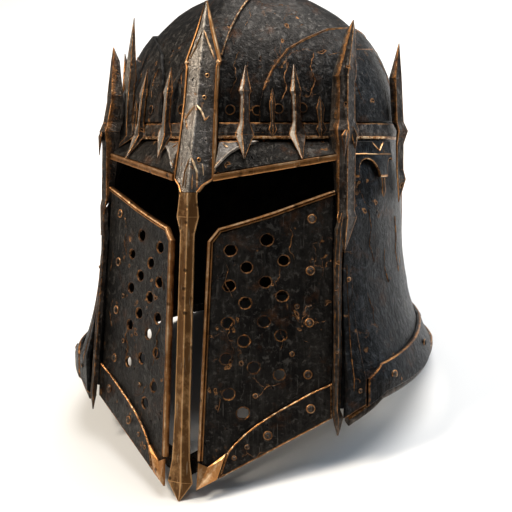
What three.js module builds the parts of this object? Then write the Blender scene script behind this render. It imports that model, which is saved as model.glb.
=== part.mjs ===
// A crowned great helm of riveted steel plates: a domed skull with a comb and two side petals,
// a circlet that carries spikes, a tall keeled front blade running down into a nasal bar,
// two perforated cheek plates, pilasters at the temples and ears, and a flared neck skirt.
// Millimetres. The helm is drawn upright (face towards -Y, chin point at z = 0, skull axis
// at x = y = 0) and then tipped back as a whole, so that it rests on the chin point and on
// the rear hem, which is cut flat to the floor.

import * as THREE from "three";
import { mergeVertices } from "three/addons/utils/BufferGeometryUtils.js";

// ---------------------------------------------------------------- driving dimensions
const PLATE = 2;              // thickness of the main plates
const GAP = 0.3;              // clearance between neighbouring pieces
const REST_TILT = 24;         // degrees the helm leans back when it stands by itself

const BAND_Z = 250;           // height of the circlet above the chin point
const DOME_RISE = 105;        // from the circlet to the top of the skull
const SKULL_HALF_WIDTH = 105;
const SKULL_FRONT = 90;
const SKULL_REAR = 110;
const FLANK_OFFSET = 95;      // the straight front flanks of the skull in plan
const FLANK_SLOPE = 0.6;

const FACE_Y = -127;          // plane of the cheek plates: y = FACE_Y + FACE_SLOPE |x| + FACE_LEAN z
const FACE_SLOPE = 0.53;
const FACE_LEAN = 0.09;

const SKIRT_RADIUS = 111;     // neck skirt above the flare
const SKIRT_TOP = 243.3;
const FLARE_TOP = 200;        // the skirt starts to flare below this height
const FLARE_FOOT = 84;        // and is widest here, or at the hem where that is higher
const FLARE_REACH = 23;
const FLARE_POWER = 2.7;

const HOLE_RADIUS = 3.6;      // breathing holes
const CHEEK_HOLES = [
  [27, 170], [27, 146], [27, 121], [27, 97],
  [37, 158.5], [37, 134.5], [37, 109],
  [48.5, 177], [48.5, 148.5], [48.5, 122],
  [59, 163], [59, 139], [59, 112.5], [59, 86],
  [43.5, 91], [29, 73.5], [38, 60.5],
];

const STEEL = { color: 0x38342f, roughness: 0.5, metalness: 0.9 };
const COPPER = { color: 0x9a6236, roughness: 0.4, metalness: 0.95 };

const rad = THREE.MathUtils.degToRad;
const helm = new THREE.Group();

// ---------------------------------------------------------------- solids from rings and grids
function vec(x, y, z) {
  return new THREE.Vector3(x, y, z);
}

function closedGeometry(points, triangles) {
  let geometry = new THREE.BufferGeometry();
  geometry.setAttribute("position", new THREE.Float32BufferAttribute(points.flatMap((p) => p.toArray()), 3));
  geometry.setIndex(triangles.flat());
  geometry = mergeVertices(geometry, 1e-4);
  return outwards(geometry);
}

// Turns every triangle over if the body's faces point in.
function outwards(geometry) {
  const position = geometry.getAttribute("position");
  const index = Array.from(geometry.getIndex().array);
  const a = vec(0, 0, 0);
  const b = vec(0, 0, 0);
  const c = vec(0, 0, 0);
  const kept = [];
  let volume = 0;
  for (let i = 0; i < index.length; i += 3) {
    const corners = index.slice(i, i + 3);
    if (new Set(corners).size < 3) continue;
    a.fromBufferAttribute(position, corners[0]);
    b.fromBufferAttribute(position, corners[1]);
    c.fromBufferAttribute(position, corners[2]);
    volume += a.dot(b.clone().cross(c));
    kept.push(corners);
  }
  geometry.setIndex(kept.flatMap((t) => (volume < 0 ? [t[0], t[2], t[1]] : t)));
  return geometry;
}

// A body skinned over rings of equal count, with a fan over each end.
function loft(rings) {
  const count = rings[0].length;
  const points = rings.flat();
  const triangles = [];
  for (let r = 0; r + 1 < rings.length; r++) {
    for (let i = 0; i < count; i++) {
      const a = r * count + i;
      const b = r * count + ((i + 1) % count);
      triangles.push([a, b, b + count], [a, b + count, a + count]);
    }
  }
  const last = (rings.length - 1) * count;
  for (let i = 1; i + 1 < count; i++) {
    triangles.push([0, i + 1, i], [last, last + i, last + i + 1]);
  }
  return closedGeometry(points, triangles);
}

// A plate with an outer and an inner skin, each a function of u and v from 0 to 1.
function shell(outer, inner, nu, nv) {
  const points = [];
  for (const skin of [outer, inner]) {
    for (let j = 0; j <= nv; j++) {
      for (let i = 0; i <= nu; i++) points.push(skin(i / nu, j / nv));
    }
  }
  const row = nu + 1;
  const offset = row * (nv + 1);
  const triangles = [];
  for (let j = 0; j < nv; j++) {
    for (let i = 0; i < nu; i++) {
      const a = j * row + i;
      triangles.push([a, a + 1, a + row + 1], [a, a + row + 1, a + row]);
      const b = a + offset;
      triangles.push([b, b + row + 1, b + 1], [b, b + row, b + row + 1]);
    }
  }
  const rim = [];
  for (let i = 0; i < nu; i++) rim.push([i, i + 1]);
  for (let j = 0; j < nv; j++) rim.push([j * row + nu, (j + 1) * row + nu]);
  for (let i = nu; i > 0; i--) rim.push([nv * row + i, nv * row + i - 1]);
  for (let j = nv; j > 0; j--) rim.push([j * row, (j - 1) * row]);
  for (const [a, b] of rim) triangles.push([a, a + offset, b + offset], [a, b + offset, b]);
  return closedGeometry(points, triangles);
}

function mirrored(geometry) {
  const copy = geometry.clone();
  copy.scale(-1, 1, 1);
  return outwards(copy);
}

function add(name, geometry, material) {
  const mesh = new THREE.Mesh(geometry, new THREE.MeshStandardMaterial(material));
  mesh.name = name;
  helm.add(mesh);
}

function addPair(name, geometry, material) {
  add(`${name}_right`, geometry, material);
  add(`${name}_left`, mirrored(geometry), material);
}

function mix(a, b, t) {
  return a + (b - a) * t;
}

// Reads a value from a short list of [place, value] pairs.
function along(list, place) {
  if (place <= list[0][0]) return list[0][1];
  for (let i = 1; i < list.length; i++) {
    const [p0, v0] = list[i - 1];
    const [p1, v1] = list[i];
    if (place <= p1) return mix(v0, v1, (place - p0) / (p1 - p0));
  }
  return list[list.length - 1][1];
}

// Eases from 0 to 1 as value goes from one limit to the other, in either direction.
function smooth(from, to, value) {
  const t = THREE.MathUtils.clamp((value - from) / (to - from), 0, 1);
  return t * t * (3 - 2 * t);
}

// ---------------------------------------------------------------- shared surfaces
// Angles are degrees round the skull axis: 0 at the nose, 90 at the right ear, 180 behind.

function around(angle, radius, z) {
  return vec(radius * Math.sin(rad(angle)), -radius * Math.cos(rad(angle)), z);
}

// Plan radius of the skull at the circlet: an oval with flattened front flanks.
function skullRadius(angle) {
  const c = Math.cos(rad(angle));
  const s = Math.abs(Math.sin(rad(angle)));
  const oval = 1 / Math.hypot(c / (c > 0 ? SKULL_FRONT : SKULL_REAR), s / SKULL_HALF_WIDTH);
  const reach = c + FLANK_SLOPE * s;
  if (reach < 0.3) return oval;
  const flank = FLANK_OFFSET / reach;
  return (flank ** -16 + oval ** -16) ** (-1 / 16);
}

// A point of the dome at a rise angle over the circlet, moved out by lift.
function domePoint(angle, rise, lift) {
  const radius = (skullRadius(angle) + lift) * Math.cos(rad(rise));
  return around(angle, radius, BAND_Z + (DOME_RISE + lift) * Math.sin(rad(rise)));
}

// Point of the face plane at a side distance and height, moved out by lift.
const faceNormal = vec(FACE_SLOPE, -1, FACE_LEAN).normalize();
function facePoint(x, z, lift) {
  return vec(x, FACE_Y + FACE_SLOPE * x + FACE_LEAN * z, z).addScaledVector(faceNormal, lift);
}

// Height of the hem at a distance y behind the skull axis. At the back it lies in the
// plane on which the helm rests, which also holds the chin point.
const CHIN_RADIUS = 121.6;
const REST_SLOPE = Math.tan(rad(REST_TILT));
function hemHeight(y) {
  if (y < -54) return 68.2 + (y + 54) * 1.02;
  return Math.max(79 + 0.2 * y, REST_SLOPE * (y + CHIN_RADIUS));
}

// Radius of the neck skirt: straight at the ears, flared towards the hem, drawn in behind
// the temple pilaster and under the circlet.
function skirtRadius(angle, z) {
  const side = Math.min(angle, 360 - angle);
  const widest = SKIRT_RADIUS + FLARE_REACH;
  const foot = Math.max(FLARE_FOOT, hemHeight(-widest * Math.cos(rad(side))));
  const reach = mix(12.7, FLARE_REACH, smooth(52, 67, side));
  const drop = THREE.MathUtils.clamp((FLARE_TOP - z) / (FLARE_TOP - foot), 0, 1);
  const tuck = 7 * smooth(76, 62, side) * smooth(160, 178, z);
  const neck = smooth(212, SKIRT_TOP + 2, z);
  return mix(SKIRT_RADIUS + reach * drop ** FLARE_POWER - tuck, skullRadius(side) + 1.6, neck);
}

// ---------------------------------------------------------------- skull
// A dome of one sheet, open below.
{
  const SIDES = 34;
  const RISES = [-3.1, 12, 27, 42, 57, 71, 82];
  const points = [];
  for (const lift of [0, -PLATE]) {
    for (const rise of RISES) {
      for (let i = 0; i < SIDES; i++) points.push(domePoint((360 * i) / SIDES, rise, lift));
    }
  }
  const inner = RISES.length * SIDES;
  const outerTop = points.push(domePoint(0, 90, 0)) - 1;
  const innerTop = points.push(domePoint(0, 90, -PLATE)) - 1;
  const triangles = [];
  for (let i = 0; i < SIDES; i++) {
    const next = (i + 1) % SIDES;
    for (let r = 0; r + 1 < RISES.length; r++) {
      const a = r * SIDES + i;
      const b = r * SIDES + next;
      triangles.push([a, b, b + SIDES], [a, b + SIDES, a + SIDES]);
      const c = a + inner;
      const d = b + inner;
      triangles.push([c, d + SIDES, d], [c, c + SIDES, d + SIDES]);
    }
    const last = inner - SIDES;
    triangles.push([last + i, last + next, outerTop]);
    triangles.push([last + inner + next, last + inner + i, innerTop]);
    triangles.push([i, i + inner, next + inner], [i, next + inner, next]);
  }
  add("skull_shell", closedGeometry(points, triangles), STEEL);
}

// The comb: a strap over the crown of the skull from behind the blade to the nape, widest on top.
{
  const HALF_WIDTHS = [[0, 13], [0.25, 18], [0.5, 23], [0.75, 19], [1, 14]];
  const skin = (lift) => (u, v) => {
    const turn = rad(mix(29, 174, v));
    const side = mix(1, -1, u) * along(HALF_WIDTHS, v) / SKULL_HALF_WIDTH;
    const flat = Math.hypot(side, Math.cos(turn));
    const angle = THREE.MathUtils.radToDeg(Math.atan2(side, Math.cos(turn)));
    return domePoint(angle, THREE.MathUtils.radToDeg(Math.atan2(Math.sin(turn), flat)), lift);
  };
  add("skull_comb", shell(skin(2.8), skin(1), 4, 20), STEEL);
}

// Side petals: plates lapped over the dome from the circlet up, with an arched upper edge.
{
  const EDGE = [[26, 5], [29, 15.5], [34, 23.6], [43, 32], [54, 37], [68, 42], [87, 44], [120, 40], [160, 30]];
  const skin = (lift) => (u, v) => {
    const angle = mix(27, 158, u);
    return domePoint(angle, mix(3.6, along(EDGE, angle), v), lift);
  };
  addPair("skull_petal", shell(skin(2.9), skin(1.2), 20, 4), STEEL);
}

// ---------------------------------------------------------------- circlet and spikes
// A bevelled ring round the foot of the skull, open at the front where the blade stands.
const BAND_OUT = 4;
{
  const rings = [];
  for (let angle = 10.5; angle <= 349.6; angle += 339 / 52) {
    const r = skullRadius(angle);
    const at = (out, z) => around(angle, r + out, z);
    rings.push([at(0.8, 244.6), at(BAND_OUT - 0.4, 244.6), at(BAND_OUT, 248.5), at(1.8, 255.8), at(0.8, 255.8)]);
  }
  add("crown_band", loft(rings), STEEL);
}

// A keeled bar: each row gives the height, the angle and radius of its keel, its half
// width, how far the keel stands out and how deep the back is. It faces its own angle, or
// the one given.
function keeled(rows, facing) {
  return loft(rows.map(([z, angle, radius, half, keel, back]) => {
    const out = around(facing ?? angle, 1, 0);
    const across = vec(-out.y, out.x, 0);
    const ridge = around(angle, radius, z);
    const at = (depth, side) => ridge.clone().addScaledVector(out, -depth).addScaledVector(across, side);
    return [
      at(0, 0), at(keel, half), at(keel + back, half * 0.8), at(keel + back, -half * 0.8), at(keel, -half),
    ];
  }));
}

// The way the circlet faces at an angle.
function bandFacing(angle) {
  const a = around(angle - 2, skullRadius(angle - 2), 0);
  const b = around(angle + 2, skullRadius(angle + 2), 0);
  return THREE.MathUtils.radToDeg(Math.atan2(b.y - a.y, b.x - a.x));
}

// Brow surface between the lower trim (v = 0) and the circlet (v = 1), u from nose to temple.
const TRIM_HEIGHT = 4.4;
const BROW_TOP = 243.9;
function browFoot(x) {
  return 216.6 + (x - 17) * 0.19;
}
function browPoint(u, v, lift) {
  const x = mix(16.8, 88.2, u);
  const low = facePoint(x, browFoot(x) + TRIM_HEIGHT + GAP, lift);
  const angle = mix(10.8, 57.6, u);
  const high = around(angle, skullRadius(angle) + 1.6 + lift, BROW_TOP);
  return low.lerp(high, v).addScaledVector(faceNormal, 5 * v * (1 - v));
}

// How far out the brow stands at an angle and height, for the spikes' lower tips.
function browRadius(angle, z) {
  const u = (angle - 10.8) / 46.8;
  const x = mix(16.8, 88.2, u);
  const low = browFoot(x) + TRIM_HEIGHT;
  const point = browPoint(u, THREE.MathUtils.clamp((z - low) / (BROW_TOP - low), 0, 1), 0);
  return Math.hypot(point.x, point.y);
}

// A crown spike: lower tip on the brow, collar over the band, shaft, shoulder and point.
function spike(angle, tip, shoulder, half, lower = 231.5) {
  const base = skullRadius(angle);
  return keeled([
    [lower, angle, browRadius(angle, lower) + 2.8, 0.4, 0.3, 0.3],
    [247.6, angle, base + BAND_OUT + 4.6, half * 1.8, 3.4, 0.6],
    [256.4, angle, base + 7.4, half * 0.95, 3, 1.2],
    [shoulder - 3, angle, base + 5.2, half * 0.9, 2.6, 1],
    [shoulder, angle, base + 5, half * 1.15, 2.6, 1],
    [tip, angle, base, 0.35, 0.3, 0.3],
  ], bandFacing(angle));
}
addPair("spike_inner", spike(20.6, 294.6, 277, 3.6), STEEL);
addPair("spike_middle", spike(43.6, 295, 277, 3.3), STEEL);
add("spike_tall_left", mirrored(spike(56.4, 333.5, 288, 4.2, 238)), STEEL);

// Two lesser ornaments stand on the band only: a slim spike and leaf studs.
function stud(angle, tip, half) {
  const base = skullRadius(angle);
  return keeled([
    [246.5, angle, base + BAND_OUT + 1.2, 0.5, 0.4, 0.4],
    [251, angle, base + BAND_OUT + 2.6, half * 1.3, 1.6, 0.4],
    [256.4, angle, base + 5.6, half * 0.6, 1.6, 0.8],
    [mix(256.4, tip, 0.55), angle, base + 5.2, half, 1.8, 0.8],
    [tip, angle, base + 3.6, 0.3, 0.3, 0.3],
  ], bandFacing(angle));
}
add("spike_slim_right", stud(33, 278.5, 2.2), STEEL);
add("leaf_stud_right", stud(54, 273.5, 2.9), STEEL);
add("leaf_stud_left", mirrored(stud(50.5, 273.5, 2.4)), STEEL);

// ---------------------------------------------------------------- pilasters
// Long keeled bars that start below the eye slit, pass the circlet in a collar and rise
// free of the skull. The right one stands a little taller than the left, as they are drawn.
function templePilaster(tip, shoulder, foot) {
  return keeled([
    [foot - 22, 56.6, 115.4, 0.4, 0.3, 0.3],
    [foot, 59, 115.4, 8.6, 4, 0.8],
    [foot + 6, 59, 114.2, 7.2, 3.6, 1.6],
    [241, 59.5, 113.4, 7.6, 3.6, 1.8],
    [250.5, 59.5, 115.2, 9.8, 4.6, 1.8],
    [257.5, 59.8, 112.4, 7.4, 3.8, 2.2],
    [shoulder - 4, 61, 109.4, 7.2, 3.6, 2.2],
    [shoulder, 61.2, 109.2, 8.2, 3.6, 2],
    [tip, 64.6, 105, 0.4, 0.3, 0.3],
  ]);
}
add("temple_pilaster_right", templePilaster(325, 287, 191.5), STEEL);
add("temple_pilaster_left", mirrored(templePilaster(313, 277, 196)), STEEL);
addPair("ear_pilaster", keeled([
  [200, 91, 113.6, 0.4, 0.3, 0.3],
  [216.3, 91, 118.4, 7.2, 4.2, 1],
  [223, 91, 116.6, 5.4, 3.4, 1],
  [241, 91, 116.4, 5.6, 3.4, 1.2],
  [250.6, 91, 119.6, 8, 4.4, 2.4],
  [257, 91, 116.4, 5.8, 3.6, 4],
  [288, 90.6, 114.8, 5, 3.2, 5],
  [312.4, 90.6, 112.7, 0.4, 0.3, 0.3],
]), STEEL);

// ---------------------------------------------------------------- brow
addPair("brow_plate", shell((u, v) => browPoint(u, v, 0), (u, v) => browPoint(u, v, -PLATE), 14, 4), STEEL);

// Copper strip along the top of the eye slit.
{
  const skin = (lift) => (u, v) => {
    const x = mix(16.8, 88.2, u);
    return facePoint(x, browFoot(x) + TRIM_HEIGHT * v, lift);
  };
  addPair("brow_trim", shell(skin(1.4), skin(-PLATE), 8, 1), COPPER);
}

// Gusset between the blade and the first spike: its lower edge is an arch.
{
  const skin = (lift) => (u, v) => {
    const arch = 0.2 + 0.68 * Math.sin((u * Math.PI) / 2);
    return browPoint(0.27 * u, mix(arch, 0.98, v), lift);
  };
  addPair("band_gusset", shell(skin(2.4), skin(0.4), 8, 2), STEEL);
}

// ---------------------------------------------------------------- front blade and nasal bar
// The blade is a folded plate: a keel in front and a hollow behind.
function folded(rows) {
  return loft(rows.map(([z, radius, half, keel]) => [
    vec(0, -radius, z), vec(half, keel - radius, z), vec(half, keel + PLATE - radius, z),
    vec(0, PLATE * 1.2 - radius, z), vec(-half, keel + PLATE - radius, z), vec(-half, keel - radius, z),
  ]));
}
add("front_blade", folded([
  [209, 107.6, 7.4, 2.5],
  [213.5, 107.3, 10, 5],
  [218, 106.4, 15.8, 8.6],
  [244, 100.5, 14.2, 7.6],
  [269.4, 94.2, 13, 5.8],
  [294, 89.2, 12.6, 4.4],
  [297.5, 88.4, 13.4, 4.4],
  [319, 83.4, 6.6, 2.6],
  [338.8, 78.3, 0.4, 0.3],
]), STEEL);

add("nasal_bar", keeled([
  [0.4, 0, CHIN_RADIUS, 0.6, 0.3, 0.6],
  [13, 0, 120.9, 9.6, 1.5, 3],
  [28, 0, 119.8, 6.2, 1.5, 3.4],
  [60, 0, 117.4, 5.2, 1.6, 3.4],
  [176, 0, 109.4, 4.9, 1.8, 3.4],
  [181, 0, 109.1, 5, 2, 3.4],
  [192.3, 0, 108.8, 8.2, 2.6, 3.2],
  [206, 0, 108, 6.8, 2.5, 3.2],
  [208.7, 0, 107.7, 7.2, 2.5, 2],
]), COPPER);

// ---------------------------------------------------------------- cheek plates
// Flat work on the face plane: an outline of [x, z] points between two lifts.
function facePlate(outline, from, to, holes = []) {
  const shape = new THREE.Shape(outline.map(([x, z]) => new THREE.Vector2(x, z)));
  for (const [x, z] of holes) {
    const path = new THREE.Path();
    path.absarc(x, z, HOLE_RADIUS, 0, 2 * Math.PI);
    shape.holes.push(path);
  }
  const geometry = new THREE.ExtrudeGeometry(shape, { depth: 1, bevelEnabled: false, curveSegments: 6 });
  geometry.deleteAttribute("normal");
  geometry.deleteAttribute("uv");
  const position = geometry.getAttribute("position");
  for (let i = 0; i < position.count; i++) {
    const point = facePoint(position.getX(i), position.getY(i), mix(from, to, position.getZ(i)));
    position.setXYZ(i, point.x, point.y, point.z);
  }
  return outwards(mergeVertices(geometry, 1e-4));
}

function cheekFoot(x) {
  return 9 + (x - 11.6) * 0.591;
}
const RIM = 3;
const CHEEK_REAR = [[92.2 - GAP, cheekFoot(92)], [88.8, 150], [87.4, 206.6]];
addPair("cheek_plate", facePlate([
  [11.9 + RIM, cheekFoot(15)], ...CHEEK_REAR,
  [52, 195.8 - RIM], [20.4, 184.6 - RIM - 0.6], [13.2 + RIM + 0.3, 174.6],
], -PLATE, 0, CHEEK_HOLES), STEEL);

// Raised copper rim along the slit, over the chamfer and down the front edge.
addPair("cheek_rim", facePlate([
  [87.4, 210.2], [52, 195.8], [19.2, 184.8], [13.2, 176], [11.9, 29],
  [11.6 + RIM, 29], [12.9 + RIM, 174.9], [20.6, 184.6 - RIM], [52, 196.1 - RIM], [87.4, 206.9],
].reverse(), -PLATE, 1.6), COPPER);

// The hem: a lower plate laid over the cheek, with a curved upper edge.
addPair("cheek_hem", facePlate([
  [24.8, cheekFoot(24.8)], [91.4, cheekFoot(91.4)], [90.6, 80],
  [77.5, 73.5], [63.4, 64.7], [46.6, 53], [33.9, 40.6], [29.4, 34.4],
], GAP, 1.9), STEEL);

// Spearhead at the chin end of the hem.
addPair("chin_point", facePlate([
  [11.8, 9.4], [24, cheekFoot(24)], [28.6, 33.6], [18.2, 24.6], [12.4, 27.6],
], GAP, 3), COPPER);

// A folded plate behind the chin ties both cheeks and the nasal bar together.
{
  const LEFT_TO_RIGHT = [-1, -0.5, 0, 0.5, 1];
  const rings = LEFT_TO_RIGHT.map((t) => {
    const x = t * 25;
    const foot = cheekFoot(Math.abs(x)) + 12;
    const at = (back, z) => vec(x, FACE_Y + FACE_SLOPE * Math.abs(x) + FACE_LEAN * z + back, z);
    const front = Math.abs(t) < 0.25 ? 12 : 3;
    return [at(front, foot), at(front, foot + 15), at(front + PLATE, foot + 15), at(front + PLATE, foot)];
  });
  add("chin_tie", loft(rings), STEEL);
}

// ---------------------------------------------------------------- neck skirt
// One sheet from temple to temple round the back.
const SKIRT_START = 58.6;
const ROLL_HEIGHT = 6;
function hemAt(angle, out) {
  const radius = skirtRadius(angle, 90) + out;
  return hemHeight(-radius * Math.cos(rad(angle)));
}
{
  const LEVELS = [0, 0.06, 0.12, 0.2, 0.3, 0.45, 0.65, 0.86, 1];
  const skin = (lift) => (u, v) => {
    const angle = mix(SKIRT_START, 360 - SKIRT_START, u);
    const low = hemAt(angle, 0) + ROLL_HEIGHT + GAP;
    const z = mix(low, SKIRT_TOP, LEVELS[Math.round(v * 8)]);
    return around(angle, skirtRadius(angle, z) + lift, z);
  };
  add("neck_skirt", shell(skin(0), skin(-PLATE), 48, 8), STEEL);
}

// Thick rolled hem. Behind, its underside is flat to the floor.
{
  const rings = [];
  const START = 55.4;
  for (let i = 0; i <= 56; i++) {
    const angle = mix(START, 360 - START, i / 56);
    const at = (out, up) => {
      const radius = skirtRadius(angle, 90) + out;
      const z = hemHeight(-radius * Math.cos(rad(angle))) + up;
      return around(angle, radius, z);
    };
    rings.push([at(-3.4, 0), at(1.2, 0), at(2.2, 1.6), at(1.8, ROLL_HEIGHT), at(-2.6, ROLL_HEIGHT)]);
  }
  add("hem_roll", loft(rings), STEEL);
}

// Band laid round the skirt above the hem.
{
  const skin = (lift) => (u, v) => {
    const angle = mix(61.6, 298.4, u);
    const z = hemAt(angle, 0) + mix(ROLL_HEIGHT + GAP, 25, v);
    return around(angle, skirtRadius(angle, z) + lift, z);
  };
  add("skirt_band", shell(skin(3.2), skin(1.6), 48, 2), STEEL);
}

// ---------------------------------------------------------------- cheek guards
// A thick pitted bar where the skirt laps the cheek, and the strip behind it.
const GUARD_KEEL = [[45.5, 51.7], [62, 51.6], [100, 52.7], [150, 54], [165, 54.6], [181, 55.2]];
addPair("guard_edge", keeled([
  [45.5, 51.7, 123.7, 0.6, 0.3, 0.6],
  [62, 51.6, 124.6, 3, 1.4, 3.2],
  [100, 52.7, 121.2, 2.7, 1.4, 3],
  [150, 54, 116.4, 2.7, 1.4, 3],
  [165, 54.6, 115.2, 2.6, 1.4, 3],
  [181, 55.2, 113.2, 0.8, 0.6, 1.6],
]), STEEL);
{
  const skin = (lift) => (u, v) => {
    const z = mix(mix(57.6, 66, u), 169, v);
    const angle = mix(along(GUARD_KEEL, z) + 1.8, 61, u);
    return around(angle, skirtRadius(angle, z) + lift, z);
  };
  addPair("guard_strip", shell(skin(3.2), skin(1.6), 2, 8), STEEL);
}

// ---------------------------------------------------------------- ear plates
// A plate over the skirt below the circlet, its lower edge cut into arches, and the drop
// that hangs between them.
{
  const skin = (lift) => (u, v) => {
    const angle = mix(65.2, 86, u);
    const arch = Math.max(0, 1 - ((angle - 71) / 4.4) ** 2, 1 - ((angle - 84.4) / 4.2) ** 2);
    const z = mix(218.5 + 12.5 * Math.sqrt(arch), SKIRT_TOP, v);
    return around(angle, skirtRadius(angle, z) + lift, z);
  };
  addPair("ear_plate", shell(skin(3.2), skin(1.6), 26, 2), STEEL);
}
addPair("ear_drop", keeled([
  [204.6, 78, 112.8, 0.4, 0.3, 0.3],
  [208.6, 78, 114.4, 2.8, 1.6, 0.6],
  [213, 78, 113.8, 1.6, 1.4, 0.6],
  [217.8, 78, 113.4, 2.2, 1.2, 0.6],
]), STEEL);

// ---------------------------------------------------------------- rest pose
// The helm leans back until the chin point and the rear hem meet the floor, and its
// bounding box is centred over the origin.
helm.rotation.x = -rad(REST_TILT);
const part = new THREE.Group();
part.add(helm);
part.updateMatrixWorld(true);
const box = new THREE.Box3().setFromObject(helm, true);
helm.position.set(-(box.min.x + box.max.x) / 2, -(box.min.y + box.max.y) / 2, -box.min.z);

export default part;
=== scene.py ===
import math

import bmesh
import bpy
import numpy as np
from mathutils import Matrix, Vector, noise
from mathutils.geometry import delaunay_2d_cdt


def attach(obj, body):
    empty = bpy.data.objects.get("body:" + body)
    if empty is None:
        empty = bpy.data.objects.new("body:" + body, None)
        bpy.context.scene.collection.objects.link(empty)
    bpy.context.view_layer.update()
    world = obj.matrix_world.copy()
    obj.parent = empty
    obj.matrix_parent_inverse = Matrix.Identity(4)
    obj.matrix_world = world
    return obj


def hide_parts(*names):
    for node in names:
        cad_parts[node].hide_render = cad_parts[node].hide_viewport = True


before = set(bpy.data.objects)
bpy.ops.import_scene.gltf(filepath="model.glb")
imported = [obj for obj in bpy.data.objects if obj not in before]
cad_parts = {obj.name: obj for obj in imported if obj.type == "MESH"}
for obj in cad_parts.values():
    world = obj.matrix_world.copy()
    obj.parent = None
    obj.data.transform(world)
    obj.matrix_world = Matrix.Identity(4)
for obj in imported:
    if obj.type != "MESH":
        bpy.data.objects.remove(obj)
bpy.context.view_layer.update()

scene = bpy.context.scene

# ---------------------------------------------------------------- camera
# Every piece below is set out on the upright helm, in millimetres, with the face towards -Y
# and the chin point at z = 0. The helm then leans back on its chin and rear hem, and the
# camera leans with it, so that it sees the face from the right and a little above.
MM = 0.001
LEAN = math.radians(24)
leaning = Matrix.Translation((0, -0.0513186, -0.0494585)) @ Matrix.Rotation(-LEAN, 4, "X")

CAMERA_TURN = math.radians(24.4)
CAMERA_RISE = math.radians(5.35)
camera_back = Vector((
    math.sin(CAMERA_TURN) * math.cos(CAMERA_RISE),
    -math.cos(CAMERA_TURN) * math.cos(CAMERA_RISE),
    math.sin(CAMERA_RISE),
))
camera_right = Vector((math.cos(CAMERA_TURN), math.sin(CAMERA_TURN), 0))
camera_up = camera_back.cross(camera_right)
camera_spot = Vector((0, 0.0037, 0.1565)) + camera_back * 0.877
camera_turn = Matrix((camera_right, camera_up, camera_back)).transposed().to_4x4()
camera = bpy.data.objects.new("camera", bpy.data.cameras.new("camera"))
camera.data.lens = 80.86
camera.data.sensor_width = 36
camera.matrix_world = leaning @ Matrix.Translation(camera_spot) @ camera_turn
scene.collection.objects.link(camera)
scene.camera = camera

# ---------------------------------------------------------------- skull
# The skull is one sheet of steel raised into a dome over a stake, planished with a hammer
# and blackened in the fire. It is the foundation that all the other plates are riveted to.


# One shader node with its sockets set: a value is kept as it is, a socket is linked.
def node(tree, kind, sockets=(), **settings):
    made = tree.nodes.new("ShaderNode" + kind)
    for key, value in settings.items():
        setattr(made, key, value)
    for key, value in dict(sockets).items():
        if isinstance(value, bpy.types.NodeSocket):
            tree.links.new(value, made.inputs[key])
        else:
            made.inputs[key].default_value = value
    return made


# A mix of two colours. Sockets 6 and 7 are the colours, and output 2 is the mix.
def blend(tree, share, low, high):
    return node(tree, "Mix", {0: share, 6: low, 7: high}, data_type="RGBA").outputs[2]


def sums(tree, how, a, b):
    return node(tree, "Math", {0: a, 1: b}, operation=how).outputs[0]


def times(tree, a, b):
    return sums(tree, "MULTIPLY", a, b)


# Turns a socket's range from low..high into 0..1, with what lies outside cut off.
def window(tree, value, low, high, start=0.0, end=1.0):
    sockets = {"Value": value, "From Min": low, "From Max": high, "To Min": start, "To Max": end}
    return node(tree, "MapRange", sockets).outputs[0]


def clouds(tree, place, scale, detail, roughness=0.5, output=0):
    sockets = {"Vector": place, "Scale": scale, "Detail": detail, "Roughness": roughness}
    return node(tree, "TexNoise", sockets).outputs[output]


# Places scaled and turned, so that what is made from them is drawn out along one way.
def drawn_out(tree, place, scale, turn=(0, 0, 0)):
    return node(tree, "Mapping", {"Vector": place, "Rotation": turn, "Scale": scale}).outputs[0]


# Random cells, as how far a place is from its cell's middle, for a chosen part of the cells.
def cells(tree, place, scale, low, high):
    cell = node(tree, "TexVoronoi", {"Vector": place, "Scale": scale}, feature="F1")
    draw = node(tree, "SeparateColor", {0: cell.outputs["Color"]}).outputs[0]
    return cell.outputs["Distance"], window(tree, draw, low, high)


# A new metal with its node tree, and each place on it as if the helm stood upright.
def new_metal(name):
    metal = bpy.data.materials.new(name)
    metal.use_nodes = True
    tree = metal.node_tree
    tree.nodes.clear()
    place = node(tree, "TexCoord").outputs["Object"]
    return metal, tree, drawn_out(tree, place, (1, 1, 1), (LEAN, 0, 0))


def finish_metal(tree, colour, rough, height, strength, depth, metallic):
    relief = node(tree, "Bump", {"Height": height, "Strength": strength, "Distance": depth}).outputs[0]
    shader = node(tree, "BsdfPrincipled", {"Base Color": colour, "Roughness": rough, "Normal": relief})
    shader.inputs["Metallic"].default_value = metallic
    tree.links.new(shader.outputs[0], node(tree, "OutputMaterial").inputs[0])


# The brightest copper colour is a painted highlight, put where edges are most rubbed.
COPPER_DARK = (0.085, 0.032, 0.010, 1)
COPPER_BARE = (0.44, 0.195, 0.062, 1)
COPPER_PAINTED_HIGHLIGHT = (0.96, 0.70, 0.43, 1)
CRACK_COPPER = (0.2, 0.085, 0.027, 1)
PIT_FLOOR = (0.004, 0.003, 0.003, 1)
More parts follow.
